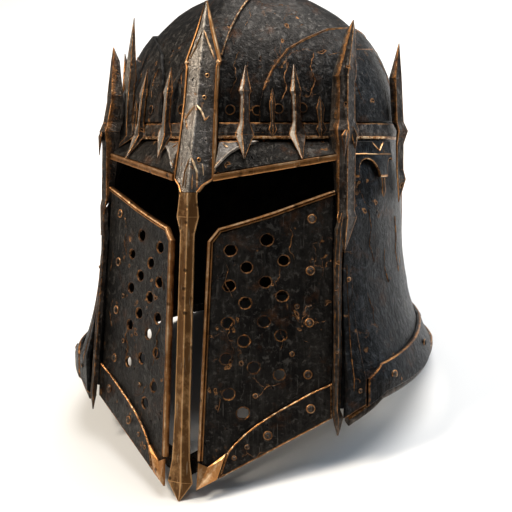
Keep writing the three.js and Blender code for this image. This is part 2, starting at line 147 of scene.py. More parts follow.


# Fire-blackened steel: cloudy scale, brushed streaks, scratches, pits with dark floors,
# hair cracks with copper wash in them, and bare copper-brown edges where hands rub it,
# with a painted highlight colour where the rubbing is strongest.
def blackened_steel(name, dark, light, streak, brushed=0.5, rust=0.5, shine=0.32):
    metal, tree, upright = new_metal(name)
    cloud = clouds(tree, upright, 26, 6, 0.62)
    grain = clouds(tree, upright, 330, 8, 0.72)
    brush = clouds(tree, drawn_out(tree, upright, (300, 300, 34)), 1, 7, 0.66)
    nick = clouds(tree, drawn_out(tree, upright, (700, 520, 46), (0.5, 0.7, 0.4)), 1, 3)
    scratch = window(tree, nick, 0.66, 0.72)
    wander = clouds(tree, upright, 70, 5, 0.6, output=1)
    pulled = node(tree, "VectorMath", {0: wander, "Scale": 0.018}, operation="SCALE").outputs[0]
    bent = node(tree, "VectorMath", {0: upright, 1: pulled}, operation="ADD").outputs[0]
    seam = node(tree, "TexVoronoi", {"Vector": bent, "Scale": 36}, feature="DISTANCE_TO_EDGE").outputs[0]
    patch = clouds(tree, upright, 41, 2)
    vein = times(tree, window(tree, seam, 0.013, 0.004), window(tree, patch, 0.57, 0.63))
    vein = times(tree, vein, window(tree, nick, 0.38, 0.52))
    away, chosen = cells(tree, bent, 190, 0.88, 0.9)
    pit = times(tree, window(tree, away, 0.28, 0.14), chosen)
    lip = times(tree, window(tree, away, 0.42, 0.28), chosen)
    lip = times(tree, sums(tree, "SUBTRACT", lip, pit), window(tree, patch, 0.5, 0.56))
    chip = clouds(tree, bent, 240, 4, 0.65)
    stain = clouds(tree, upright, 60, 7, 0.7)

    # Each layer of colour over the last: how much of it shows, and its colour.
    colour = blend(tree, window(tree, cloud, 0.36, 0.66), dark, light)
    for share, layer in (
        (window(tree, chip, 0.55, 0.66, 0, 0.5), streak),
        (window(tree, chip, 0.46, 0.36, 0, 0.7), dark),
        (window(tree, brush, 0.5, 0.76, 0, brushed), streak),
        (window(tree, stain, 0.56, 0.72, 0, rust), COPPER_DARK),
        (times(tree, scratch, 0.5), streak),
        (pit, PIT_FLOOR),
        (times(tree, lip, 0.6), COPPER_BARE),
        (times(tree, vein, 0.6), CRACK_COPPER),
    ):
        colour = blend(tree, share, colour, layer)
    rubbed = node(tree, "Attribute", attribute_name="worn").outputs["Fac"]
    ragged = sums(tree, "ADD", rubbed, window(tree, grain, 0.3, 0.7, -0.28, 0.28))
    bare = window(tree, ragged, 0.45, 0.75)
    bare_edge_and_highlight = blend(tree, window(tree, stain, 0.4, 0.62), COPPER_BARE, COPPER_DARK)
    # Where the rubbing is strongest, the bare copper is painted in the highlight colour.
    bare_edge_and_highlight = blend(tree, window(tree, ragged, 0.95, 1.2), bare_edge_and_highlight, COPPER_PAINTED_HIGHLIGHT)
    colour = blend(tree, bare, colour, bare_edge_and_highlight)

    rough = window(tree, grain, 0.3, 0.7, shine, shine + 0.2)
    rough = sums(tree, "SUBTRACT", rough, times(tree, bare, 0.12))
    rough = sums(tree, "ADD", rough, times(tree, pit, 0.3))
    height = times(tree, grain, 0.5)
    for layer, rise in ((brush, 0.5), (chip, 1.4), (cloud, 0.8), (scratch, -0.25), (pit, -1.3), (vein, -0.8)):
        height = sums(tree, "ADD", height, times(tree, layer, rise))
    finish_metal(tree, colour, rough, height, 0.85, 0.0008, 0.88)
    return metal


# Near-black paint on the inside of the plates: painted shade for the dark inside of the helm,
# with faint flakes like old scale.
def painted_inside_shade():
    painted_shade = bpy.data.materials.new("painted_inside_shade")
    painted_shade.use_nodes = True
    tree = painted_shade.node_tree
    shader = tree.nodes["Principled BSDF"]
    place = node(tree, "TexCoord").outputs["Object"]
    flake = clouds(tree, place, 120, 6)
    colour = blend(tree, window(tree, flake, 0.4, 0.7), (0.003, 0.003, 0.003, 1), (0.010, 0.008, 0.006, 1))
    tree.links.new(colour, shader.inputs["Base Color"])
    relief = node(tree, "Bump", {"Height": flake, "Strength": 0.3, "Distance": 0.0005}).outputs[0]
    tree.links.new(relief, shader.inputs["Normal"])
    shader.inputs["Roughness"].default_value = 0.95
    shader.inputs["Specular IOR Level"].default_value = 0.1
    return painted_shade


painted_shade = painted_inside_shade()
skull_steel = blackened_steel(
    "skull_steel", (0.004, 0.0036, 0.0033, 1), (0.024, 0.0215, 0.0195, 1), (0.12, 0.11, 0.1, 1), brushed=0.4,
)


# Shallow overlapping hammer marks, as the depth at a point.
def hammer_mark(point, size):
    at = Vector(point) / size
    near = noise.voronoi(at)[0][0]
    return min(near, 0.9) ** 2 - 0.35 + 0.8 * noise.noise(at * 0.45)


# Makes a piece. Its body is the points in millimetres, the faces, how rubbed each point is,
# which of the metals each face has, and how far the hammer reached each point.
def forge(name, body, metals, depth=0.0, size=11.0, crease=34):
    points, faces, worn, which, reached = body
    mesh = bpy.data.meshes.new(name)
    mesh.from_pydata(np.asarray(points).tolist(), [], faces)
    for label, values in (("worn", worn), ("reached", reached)):
        marks = mesh.attributes.new(label, "FLOAT", "POINT")
        marks.data.foreach_set("value", np.asarray(values, np.float32))
    for metal in metals:
        mesh.materials.append(metal)
    mesh.polygons.foreach_set("material_index", which)
    shape = bmesh.new()
    shape.from_mesh(mesh)
    bmesh.ops.remove_doubles(shape, verts=shape.verts, dist=0.01)
    bmesh.ops.dissolve_degenerate(shape, edges=shape.edges, dist=0.005)
    bmesh.ops.recalc_face_normals(shape, faces=shape.faces)
    shape.normal_update()
    reach = shape.verts.layers.float["reached"]
    if depth:
        for vert in shape.verts:
            if vert[reach] > 0:
                vert.co += vert.normal * (depth * vert[reach] * hammer_mark(vert.co, size))
    shape.to_mesh(mesh)
    shape.free()
    mesh.attributes.remove(mesh.attributes["reached"])
    mesh.transform(leaning @ Matrix.Scale(MM, 4))
    mesh.polygons.foreach_set("use_smooth", [True] * len(mesh.polygons))
    mesh.set_sharp_from_angle(angle=math.radians(crease))
    piece = bpy.data.objects.new(name, mesh)
    scene.collection.objects.link(piece)
    return piece


# Puts a finished piece on the helm: what it stands for in the frame, and its finish, which is not used.
def mount(piece, slot, *nodes):
    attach(piece, "root")
    if nodes:
        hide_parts(*nodes)


# A place by its angle from the face, its distance from the middle line and its height.
def around(angle, radius, z):
    turn = np.radians(angle)
    return np.stack(np.broadcast_arrays(radius * np.sin(turn), -radius * np.cos(turn), z), axis=-1)


BAND_HEIGHT = 250
DOME_RISE = 105
SKULL_FRONT = 90
SKULL_REAR = 110
SKULL_SIDE = 105
FLANK = 95


# Plan radius of the skull: an oval with flattened front flanks.
def skull_radius(angle):
    c = np.cos(np.radians(angle))
    s = np.abs(np.sin(np.radians(angle)))
    oval = 1 / np.hypot(c / np.where(c > 0, SKULL_FRONT, SKULL_REAR), s / SKULL_SIDE)
    reach = c + 0.6 * s
    flank = FLANK / np.maximum(reach, 0.3)
    return np.where(reach < 0.3, oval, (flank ** -16.0 + oval ** -16.0) ** (-1 / 16))


# A place on the skull, by its angle from the face and its rise in degrees over the circlet.
def dome(angle, rise, lift):
    up = np.radians(rise)
    radius = (skull_radius(angle) + lift) * np.cos(up)
    return around(angle, radius, BAND_HEIGHT + (DOME_RISE + lift) * np.sin(up))


SKULL_SIDES = 220
SKULL_THICK = 2.0
skull_rises = np.linspace(-3.1, 88.5, 62)
skull_turns = np.linspace(0, 360, SKULL_SIDES, endpoint=False)
turn_grid, rise_grid = np.meshgrid(skull_turns, skull_rises)
skull_points = np.concatenate([
    dome(turn_grid, rise_grid, 0.0).reshape(-1, 3),
    dome(turn_grid, rise_grid, -SKULL_THICK).reshape(-1, 3),
    dome(0.0, 90.0, 0.0).reshape(1, 3),
    dome(0.0, 90.0, -SKULL_THICK).reshape(1, 3),
])
skin_count = turn_grid.size
skull_faces = []
skull_which = []
for i in range(SKULL_SIDES):
    after = (i + 1) % SKULL_SIDES
    for r in range(len(skull_rises) - 1):
        a = r * SKULL_SIDES + i
        b = r * SKULL_SIDES + after
        skull_faces.append((a, b, b + SKULL_SIDES, a + SKULL_SIDES))
        skull_faces.append(tuple(c + skin_count for c in (a, a + SKULL_SIDES, b + SKULL_SIDES, b)))
        skull_which += [0, 1]
    last = skin_count - SKULL_SIDES
    skull_faces.append((last + i, last + after, 2 * skin_count))
    skull_faces.append((last + skin_count + after, last + skin_count + i, 2 * skin_count + 1))
    skull_faces.append((i, i + skin_count, after + skin_count, after))
    skull_which += [0, 1, 1]
skull_weight = np.zeros(len(skull_points))
skull_weight[:skin_count] = np.clip((rise_grid.ravel() + 3) / 6, 0, 1)
skull_body = (skull_points, skull_faces, np.zeros(len(skull_points)), skull_which, skull_weight)
skull = forge("skull", skull_body, [skull_steel, painted_shade], depth=0.55, size=13)
mount(skull, "skull", "skull_shell")


# Where the lines of a plate's net fall: close together at both edges, then evenly.
def stations(length, step, lip=0.6):
    middle = np.linspace(2.6 * lip, length - 2.6 * lip, max(3, round(length / step)))
    return np.concatenate([[0, lip], middle, [length - lip, length]]) / length


# A plate between two lifts of one surface, with filed lips. bare says how rubbed its
# first and last side, foot and head are.
def sheet(skin, top, bottom, us, vs, bare=(1, 1, 1, 1), lip=0.6):
    rows, cols = len(vs), len(us)
    u, v = np.meshgrid(us, vs)
    i, j = np.meshgrid(np.arange(cols), np.arange(rows))
    inset = np.minimum.reduce([i, cols - 1 - i, j, rows - 1 - j])
    lift = np.where(inset == 0, top - lip * 0.8, top)
    count = u.size
    front, back = skin(u, v, lift), skin(u, v, np.full_like(u, bottom))
    points = np.concatenate([front.reshape(-1, 3), back.reshape(-1, 3)])
    fades = []
    for amount, steps in zip(bare, (i, cols - 1 - i, j, rows - 1 - j)):
        fades.append(amount * np.array([1, 0.95, 0.2, 0])[np.minimum(steps, 3)])
    worn = np.concatenate([np.maximum.reduce(fades).ravel(), np.zeros(count)])
    weight = np.concatenate([np.clip((inset.ravel() - 1) / 3, 0, 1), np.zeros(count)])
    faces = []
    which = []
    for r in range(rows - 1):
        for c in range(cols - 1):
            a = r * cols + c
            b = a + count
            faces += [(a, a + 1, a + cols + 1, a + cols), (b, b + cols, b + cols + 1, b + 1)]
            which += [0, 1]
    edge = [(c, c + 1) for c in range(cols - 1)]
    edge += [(r * cols + cols - 1, (r + 1) * cols + cols - 1) for r in range(rows - 1)]
    edge += [((rows - 1) * cols + c + 1, (rows - 1) * cols + c) for c in range(cols - 1)]
    edge += [((r + 1) * cols, r * cols) for r in range(rows - 1)]
    for a, b in edge:
        faces.append((a, a + count, b + count, b))
        which.append(0)
    return points, faces, worn, which, weight


# Two or more bodies as one piece.
def joined(bodies):
    points, faces, worn, which, weight = [], [], [], [], []
    start = 0
    for body in bodies:
        points.append(np.asarray(body[0]))
        faces += [tuple(c + start for c in face) for face in body[1]]
        worn.append(np.asarray(body[2]))
        which += list(body[3])
        weight.append(np.asarray(body[4]))
        start += len(body[0])
    return np.concatenate(points), faces, np.concatenate(worn), which, np.concatenate(weight)


# Bodies are set out for the right side of the helm. The left one is the same, mirrored.
def mirrored(body):
    return (np.asarray(body[0]) * (-1, 1, 1), *body[1:])


def on_side(side, body):
    return body if side == "right" else mirrored(body)


# The same piece on both sides. part is what the pair stands for in the frame, if anything.
def pair(name, body, metals, slot, part=None, **hammer):
    for side in ("right", "left"):
        piece = forge(f"{name}_{side}", on_side(side, body), metals, **hammer)
        mount(piece, slot, *([f"{part}_{side}"] if part else []))


# ---------------------------------------------------------------- comb
# A strap runs over the crown from behind the blade to the nape, widest on top. It is laid
# over the skull and riveted, with filed edges that have rubbed through to copper.
def along(places, values, where):
    return np.interp(where, places, values)


def comb_skin(u, v, lift):
    turn = np.radians(29 + 145 * v)
    half = along([0, 0.25, 0.5, 0.75, 1], [13, 18, 23, 19, 14], v)
    side = (1 - 2 * u) * half / DOME_RISE
    angle = np.degrees(np.arctan2(side, np.cos(turn)))
    rise = np.degrees(np.arctan2(np.sin(turn), np.hypot(side, np.cos(turn))))
    return dome(angle, rise, lift)


comb_body = sheet(comb_skin, 3.0, 0.6, stations(40, 2.6), stations(290, 3.2))
comb = forge("comb", comb_body, [skull_steel, painted_shade], depth=0.4, size=12)
mount(comb, "skull", "skull_comb")


# A raised bead or a rubbed crack: a three-sided ridge along a path on a surface, fading out
# at both ends. Each path is a list of places on the surface, a width and a height.
def beads(skin, paths, step=1.2, worn=1.0, wander=0.0):
    bodies = []
    for places, width, height in paths:
        track = []
        for start, end in zip(places[:-1], places[1:]):
            a, b = np.array(start, float), np.array(end, float)
            long = np.linalg.norm(skin(*b, 0.0) - skin(*a, 0.0))
            track += [a + (b - a) * t for t in np.linspace(0, 1, max(2, round(long / step)), endpoint=False)]
        track.append(np.array(places[-1], float))
        line = np.array([skin(*p, 0.0) for p in track])
        out = np.array([skin(*p, 1.0) for p in track]) - line
        out /= np.linalg.norm(out, axis=1, keepdims=True)
        ahead = np.gradient(line, axis=0)
        across = np.cross(out, ahead)
        across /= np.linalg.norm(across, axis=1, keepdims=True)
        line += across * np.array([[wander * noise.noise(Vector(p) * 0.3 + Vector((7, 0, 0)))] for p in line])
        count = len(track)
        fade = np.minimum(1, 0.25 + np.minimum(np.arange(count), np.arange(count)[::-1]) * 0.35)
        ragged = np.array([1 + 0.35 * noise.noise(Vector(p) * 0.45) for p in line])
        half = (width / 2 * fade * ragged)[:, None]
        points = np.concatenate([
            line - across * half - out * 0.3,
            line + out * height * fade[:, None],
            line + across * half - out * 0.3,
        ])
        faces = [(0, count, 2 * count), (count - 1, 3 * count - 1, 2 * count - 1)]
        for k in range(count - 1):
            faces += [
                (k, k + 1, count + k + 1, count + k),
                (count + k, count + k + 1, 2 * count + k + 1, 2 * count + k),
                (2 * count + k, 2 * count + k + 1, k + 1, k),
            ]
        bodies.append((points, faces, np.full(3 * count, worn), [0] * len(faces), np.zeros(3 * count)))
    return joined(bodies)


# ---------------------------------------------------------------- side petals
# Two large plates lap over the sides of the skull from the circlet up. Their upper edge is
# an arch that meets the comb in front, and its filed lip is rubbed to copper; on the right
# one the most rubbed parts carry a painted highlight.
PETAL_ANGLES = [26, 29, 34, 43, 54, 68, 87, 120, 160]
PETAL_RISES = [5, 15.5, 23.6, 32, 37, 42, 44, 40, 30]


def petal_skin(u, v, lift):
    angle = 27 + 131 * u
    return dome(angle, 3.6 + (along(PETAL_ANGLES, PETAL_RISES, angle) - 3.6) * v, lift)


petal_body = sheet(petal_skin, 2.9, 0.5, stations(250, 2.6), stations(74, 2.6), bare=(0.5, 0.6, 0, 1))
dull_petal_body = sheet(petal_skin, 2.9, 0.5, stations(250, 2.6), stations(74, 2.6), bare=(0.1, 0.3, 0, 0.25))
for side, body in (("right", petal_body), ("left", mirrored(dull_petal_body))):
    petal = forge(f"petal_{side}", body, [skull_steel, painted_shade], depth=0.55, size=12)
    mount(petal, "skull", f"skull_petal_{side}")


# ---------------------------------------------------------------- eyelets and skull cracks
# Lacing eyelets run round the foot of the skull, each a small copper ring set round its
# hole, and the hole is a near-black disc of painted shade. Old cracks in the skull have been
# washed with copper.
def turned(skin, place, profile, sides=20):
    centre = skin(*place, 0.0)
    out = skin(*place, 1.0) - centre
    out /= np.linalg.norm(out)
    level = np.cross(out, (0, 0, 1))
    level /= np.linalg.norm(level)
    up = np.cross(level, out)
    turns = np.linspace(0, 2 * np.pi, sides, endpoint=False)
    rings = []
    for radius, height, _, _ in profile:
        for t in turns:
            spoke = level * radius * math.cos(t) + up * radius * math.sin(t)
            rings.append(centre + spoke + out * height)
    faces = []
    which = []
    for r in range(len(profile) - 1):
        for k in range(sides):
            a = r * sides + k
            b = r * sides + (k + 1) % sides
            faces.append((a, b, b + sides, a + sides))
            which.append(profile[r][3])
    faces.append(tuple((len(profile) - 1) * sides + k for k in range(sides)))
    faces.append(tuple(range(sides)))
    which += [profile[-1][3], profile[0][3]]
    worn = np.repeat([row[2] for row in profile], sides)
    return np.array(rings), faces, worn, which, np.zeros(len(rings))


# Rows of radius, height, how rubbed, and metal (0 steel, 1 the near-black painted shade).
EYELET = [
    (3.8, -0.3, 0, 0), (3.7, 0.4, 0.4, 0), (3.4, 0.9, 0.7, 0), (3.0, 0.9, 0.65, 0), (2.7, 0.3, 0.3, 1),
    (1.2, 0.2, 0, 1),
]


# The skull's outside as it is seen: the petals lie over it at the sides.
def over_skull(angle, rise, lift):
    return dome(angle, rise, lift + np.where((abs(angle) > 27) & (rise > 3.6), 2.9, 0.0))


eyelet_places = [(13.3, 7.8), (26.0, 7.6), (36.0, 8.0), (47.0, 8.4), (-12.1, 8.3), (-25.5, 8.3), (-37, 8.3)]
eyelet_body = joined([turned(over_skull, place, EYELET) for place in eyelet_places])
mount(forge("skull_eyelets", eyelet_body, [skull_steel, painted_shade]), "skull")


# Worn copper: brown patina in the hollows, bare metal where it is rubbed, a painted highlight
# on the most rubbed ridges, with pits and file marks partly painted in the highlight colour.
def worn_copper(name, patina, bare, painted_highlight):
    metal, tree, upright = new_metal(name)
    cloud = clouds(tree, upright, 75, 7, 0.68)
    grain = clouds(tree, upright, 420, 6, 0.7)
    mark = clouds(tree, drawn_out(tree, upright, (800, 800, 70), (0.3, 0.5, 0.2)), 1, 4)
    away, chosen = cells(tree, upright, 150, 0.66, 0.7)
    pit = times(tree, window(tree, away, 0.34, 0.14), chosen)
    rubbed = node(tree, "Attribute", attribute_name="worn").outputs["Fac"]
    ragged = sums(tree, "ADD", rubbed, window(tree, cloud, 0.3, 0.7, -0.45, 0.35))
    colour = blend(tree, window(tree, ragged, 0.0, 0.55), patina, bare)
    # The most rubbed ridges, and some of the file marks, are painted in the highlight colour.
    colour = blend(tree, window(tree, ragged, 0.8, 1.25), colour, painted_highlight)
    colour = blend(tree, window(tree, mark, 0.6, 0.75, 0, 0.4), colour, painted_highlight)
    colour = blend(tree, times(tree, pit, 0.85), colour, (0.03, 0.014, 0.006, 1))
    rough = window(tree, grain, 0.3, 0.7, 0.28, 0.52)
    height = sums(tree, "ADD", grain, times(tree, mark, 0.5))
    height = sums(tree, "SUBTRACT", height, times(tree, pit, 1.6))
    finish_metal(tree, colour, rough, height, 0.6, 0.0004, 0.92)
    return metal


trim_copper = worn_copper("trim_copper", (0.07, 0.029, 0.01, 1), (0.44, 0.2, 0.068, 1), COPPER_PAINTED_HIGHLIGHT)

# A crack's width and height, and cracks as ragged, wandering beads.
FINE = (0.7, 0.2)
PLAIN = (0.8, 0.2)
WIDE = (0.9, 0.25)


def cracks(skin, paths):
    return beads(skin, paths, worn=0.6, step=0.8, wander=1.1)


skull_cracks = cracks(over_skull, [
    ([(38, 11), (40.5, 16), (39.5, 20), (43, 26)], *WIDE),
    ([(51, 13), (54, 19), (52.5, 24), (56, 30)], *PLAIN),
    ([(72, 12), (70, 19), (74, 26)], *PLAIN), ([(96, 14), (99, 22), (97, 31)], *WIDE),
    ([(13, 14), (15.5, 20), (14, 27), (17, 33)], *WIDE), ([(20, 16), (18.5, 20), (21.5, 27)], *FINE),
    ([(18, 44), (22, 50), (20, 57)], *PLAIN), ([(-14, 15), (-17, 22), (-15.5, 29)], *PLAIN),
    ([(-38, 12), (-41, 18), (-39, 25)], *PLAIN), ([(-58, 14), (-55, 22), (-60, 30)], *PLAIN),
])
mount(forge("skull_cracks", skull_cracks, [skull_steel]), "skull")
rear_seam = [(62, 29), (76, 32), (96, 33.5), (120, 31), (148, 26)]
petal_lip = [(angle, rise - 0.7) for angle, rise in zip(PETAL_ANGLES[1:], PETAL_RISES[1:])]
skull_seams = beads(over_skull, [
    (rear_seam, 1.6, 0.5), ([(-angle, rise) for angle, rise in rear_seam], 1.6, 0.5), (petal_lip, 2.2, 0.8),
], worn=0.6)
mount(forge("skull_seams", skull_seams, [skull_steel]), "skull")


# ---------------------------------------------------------------- circlet
# A forged ring clasps the foot of the skull, open in front where the blade stands. It has
# a square lower lip, filed bare, and a bevel above that carries the spikes.
def ring_body(sections, worn, which=None):
    count = len(sections[0])
    points = np.concatenate(sections)
    faces = [tuple(range(count)), tuple((len(sections) - 1) * count + k for k in range(count))]
    kinds = [0, 0]
    for r in range(len(sections) - 1):
        for k in range(count):
            a = r * count + k
            b = r * count + (k + 1) % count
            faces.append((a, b, b + count, a + count))
            kinds.append(0 if which is None else which[k])
    worn = np.broadcast_to(np.asarray(worn, float), (len(sections), count)).reshape(-1)
    return points, faces, worn, kinds, np.full(len(points), 0.5)


# A strip swept along a line of places. Each row of its section is two numbers that spot
# turns into a point, and how rubbed that point is.
def swept(rows, places, spot):
    sections = [np.array([spot(place, a, b) for a, b, _ in rows]) for place in places]
    return ring_body(sections, [row[2] for row in rows])


def band_spot(angle, out, z):
    return around(angle, skull_radius(angle) + out, z)


# Rows of how far out, height, how rubbed.
BAND_SECTION = [
    (0.8, 244.6, 0.2), (3.2, 244.5, 0.9), (4.0, 245.1, 1), (4.1, 246.4, 1), (3.6, 246.9, 0.3),
    (3.7, 248.3, 0), (3.9, 248.8, 0.5), (3.6, 249.6, 0.1), (2.5, 253.8, 0), (2.2, 255.0, 0.6),
    (1.6, 255.8, 0.9), (0.8, 255.8, 0.2),
]
crown_steel = blackened_steel(
    "crown_steel", (0.012, 0.0095, 0.0078, 1), (0.06, 0.049, 0.04, 1), (0.24, 0.2, 0.168, 1),
)
circlet_body = swept(BAND_SECTION, np.linspace(8.8, 351.2, 260), band_spot)
circlet = forge("circlet", circlet_body, [crown_steel], depth=0.35, size=5)
mount(circlet, "crown", "crown_band")


# ---------------------------------------------------------------- brow
# Two brow plates close the front between the eye slit and the circlet, hammered to a soft
# swell. A copper strip is folded along the lower edge of each, over the slit.
FACE_FRONT = -127
FALL_BACK = 0.53
RAKE = 0.09
FACE_OUT = np.array([FALL_BACK, -1, RAKE]) / np.linalg.norm([FALL_BACK, -1, RAKE])


# The helm's face is one flat on each side of the nasal bar, falling back from it.
def face(x, z, lift):
    flat = np.stack(np.broadcast_arrays(x, FACE_FRONT + FALL_BACK * x + RAKE * z, z), axis=-1)
    return flat + FACE_OUT * np.asarray(lift)[..., None]


def brow_foot(x):
    return 216.6 + (x - 17) * 0.19


BROW_START = 15.4
BROW_LONG = 72.8
BROW_ANGLE = 9.0
BROW_TURN = 48.6
BROW_TOP = 243.9


def brow_skin(u, v, lift):
    x = BROW_START + BROW_LONG * np.asarray(u)
    angle = BROW_ANGLE + BROW_TURN * np.asarray(u)
    low = face(x, brow_foot(x) + 4.7, lift)
    high = around(angle, skull_radius(angle) + 1.6 + lift, BROW_TOP)
    v = np.asarray(v)[..., None]
    return low + (high - low) * v + FACE_OUT * 5 * v * (1 - v)


plate_steel = blackened_steel(
    "plate_steel", (0.005, 0.0044, 0.0039, 1), (0.026, 0.023, 0.02, 1), (0.11, 0.1, 0.088, 1), brushed=0.25,
)
brow_body = sheet(brow_skin, 0.0, -2.0, stations(82, 2.2), stations(24, 1.8), bare=(0.5, 0.3, 0.2, 0))
pair("brow", brow_body, [plate_steel, painted_shade], "plate", "brow_plate", depth=0.6, size=9)


def trim_spot(x, up, lift):
    return face(x, brow_foot(x) + up, lift)


# Rows of height on the strip, lift and how rubbed.
TRIM_SECTION = [
    (0, -2, 0), (0, 1.0, 0.6), (0.5, 1.4, 0.7), (2.2, 1.2, 0.3), (3.2, 1.5, 0.9), (4.0, 1.4, 1),
    (4.4, 0.7, 0.6), (4.4, -2, 0),
]
trim_body = swept(TRIM_SECTION, 15.2 + 73.0 * np.linspace(0, 1, 60), trim_spot)
pair("brow_trim", trim_body, [trim_copper], "copper", "brow_trim", depth=0.45, size=5)


# Gussets brace the foot of the blade to the circlet. Their lower edge is filed to an arch
# and rubbed to copper, painted with a highlight where it is most rubbed, and a small copper
# barb is let into each.
blade_steel = blackened_steel(
    "blade_steel", (0.05, 0.045, 0.04, 1), (0.2, 0.185, 0.17, 1), (0.34, 0.31, 0.29, 1),
    brushed=0.4, rust=0.35, shine=0.28,
)
# A lighter copy of the steel, painted on the faces that the lamp on the left lights: painted light.
painted_lit_steel = blackened_steel(
    "painted_lit_steel", (0.16, 0.14, 0.12, 1), (0.38, 0.345, 0.31, 1), (0.66, 0.62, 0.57, 1),
    rust=0.35, shine=0.26,
)


def gusset_skin(u, v, lift):
    arch = 0.2 + 0.68 * np.sin(np.asarray(u) * np.pi / 2)
    return brow_skin(0.27 * np.asarray(u), arch + (0.98 - arch) * v, lift)


gusset_body = sheet(
    gusset_skin, 2.6, 0.2, stations(22, 0.9, 0.5), stations(14, 0.9, 0.7), bare=(0.3, 0, 1.3, 0.8), lip=0.7,
)
pair("gusset", gusset_body, [blade_steel, painted_shade], "crown", "band_gusset", depth=0.3, size=5)
barb_body = beads(lambda u, v, lift: gusset_skin(u, v, lift + 2.6), [
    ([(0.14, 0.86), (0.34, 0.5)], 2.0, 0.8), ([(0.14, 0.86), (0.8, 0.8)], 1.0, 0.4),
])
pair("gusset_barb", barb_body, [trim_copper], "copper")
# A rib along the arch is painted in the lighter steel, a painted highlight along the gusset's edge.
RIB_PATH = [(0, 0.17), (0.05, 0.4), (0.1, 0.58), (0.16, 0.72), (0.22, 0.82), (0.29, 0.9), (0.36, 0.95)]
rib_body = beads(lambda u, v, lift: brow_skin(u, v, lift + 2.2), [(RIB_PATH, 2.2, 1.0)], worn=0.3)
pair("gusset_rib", rib_body, [painted_lit_steel], "crown")


# ---------------------------------------------------------------- crown spikes
# Each spike is forged with a keel in front: a pointed tang over the brow, a collar across
# the circlet, a slim shaft, a shoulder and a long point. The edges are filed bare.
# Rows are height, angle, radius of the keel, half width, keel depth and back.
def keeled_bar(rows, facing=None, skew=0.0, shift=0.0, step=2.6, line=0.4, rub=1.0, marked=None, painted_lit_face=0):
    rows = np.array(rows, float)
    heights = []
    for z0, z1 in zip(rows[:-1, 0], rows[1:, 0]):
        near = min(line, (z1 - z0) / 4)
        inner = np.linspace(z0 + near, z1 - near, max(2, round((z1 - z0) / step)))
        heights += [z0, *inner]
    heights.append(rows[-1, 0])
    sections = []
    worn = []
    for z in heights:
        _, angle, radius, half, keel, back = (along(rows[:, 0], column, z) for column in rows.T)
        out = around(angle if facing is None else facing, 1, 0)
        across = np.array([-out[1], out[0], 0])
        base = around(angle, radius, z) + across * shift
        corner = float(np.any(np.isclose(rows[1:-1, 0] if marked is None else marked, z)))
        section = []
        rubbed = []
        for side in (1, -1):
            ridge = skew * half
            width = side * half - ridge
            ridge_share = min(0.12, 0.25 / abs(width))
            lip_share = min(0.2, 0.5 / abs(width))
            shares = [ridge_share, ridge_share + 0.08, 0.5, 1 - lip_share - 0.08, 1 - lip_share, 1]
            dip = [0, 0.02, 0.05, 0.05, -0.02, 0.03]
            marks = [0.9, 0.1, 0, 0.1, 0.7, 0.9]
            half_section = []
            for share, low, mark in zip(shares, dip, marks):
                over = across * (ridge + width * share)
                half_section.append((base + over - out * (keel * (share + low)), mark))
            edge = across * side * half
            half_section.append((base + edge * 0.97 - out * (keel + min(0.8, back * 0.5)), 0.7))
            half_section.append((base + edge * 0.8 - out * (keel + back), 0.1))
            if side == -1:
                half_section = half_section[::-1]
            section += [p for p, _ in half_section]
            rubbed += [max(mark, corner * 0.62) for _, mark in half_section]
        sections.append(np.array(section))
        worn.append(np.array(rubbed) * rub)
    # The chosen face is painted in the lighter steel, as painted light from the lamp on the left.
    which = [0, 1, 1, 1] + [0] * 12 if painted_lit_face > 0 else [0] * 11 + [1, 1, 1, 0, 0]
    return ring_body(sections, worn, which if painted_lit_face else None)


# The way the circlet faces, for a spike that sits flat on it.
def band_facing(angle):
    a = around(angle - 2, skull_radius(angle - 2), 0)
    b = around(angle + 2, skull_radius(angle + 2), 0)
    return math.degrees(math.atan2(b[1] - a[1], b[0] - a[0]))


# How far the brow is from the middle line, for the tangs that lie on it.
def brow_radius(angle, z):
    u = (angle - BROW_ANGLE) / BROW_TURN
    low = brow_foot(BROW_START + BROW_LONG * u) + 4.4
    point = brow_skin(u, min(1, max(0, (z - low) / (BROW_TOP - low))), 0.0)
    return math.hypot(point[0], point[1])


COLLAR = 247.6
SHAFT_FOOT = 256.4


# This says which face of the spike is painted in the lighter steel, a painted highlight where the lamp on the
# left falls: -1 is the one towards the blade, 1 the other.
def spike(angle, tip, shoulder, half, lower=231.5, painted_lit_face=-1, turn=0):
    base = skull_radius(angle)
    return keeled_bar([
        (lower, angle, brow_radius(angle, lower) + 2.8, 0.4, 0.3, 0.3),
        (COLLAR, angle, base + 8.6, half * 1.8, 3.4, 0.6),
        (SHAFT_FOOT, angle, base + 7.4, half * 0.95, 3, 1.2),
        (shoulder - 3, angle, base + 5.2, half * 0.9, 2.6, 1),
        (shoulder, angle, base + 5, half * 1.2, 2.6, 1),
        (tip, angle, base, 0.3, 0.3, 0.3),
    ], band_facing(angle) + turn, skew=-0.3, marked=[COLLAR, shoulder], painted_lit_face=painted_lit_face)


def stud(angle, tip, half):
    base = skull_radius(angle)
    middle = SHAFT_FOOT + (tip - SHAFT_FOOT) * 0.55
    return keeled_bar([
        (246.5, angle, base + 5.2, 0.5, 0.4, 0.4),
        (251, angle, base + 6.6, half * 1.3, 1.6, 0.4),
        (SHAFT_FOOT, angle, base + 5.6, half * 0.6, 1.6, 0.8),
        (middle, angle, base + 5.2, half, 1.8, 0.8),
        (tip, angle, base + 3.6, 0.3, 0.3, 0.3),
    ], band_facing(angle), step=1.6)


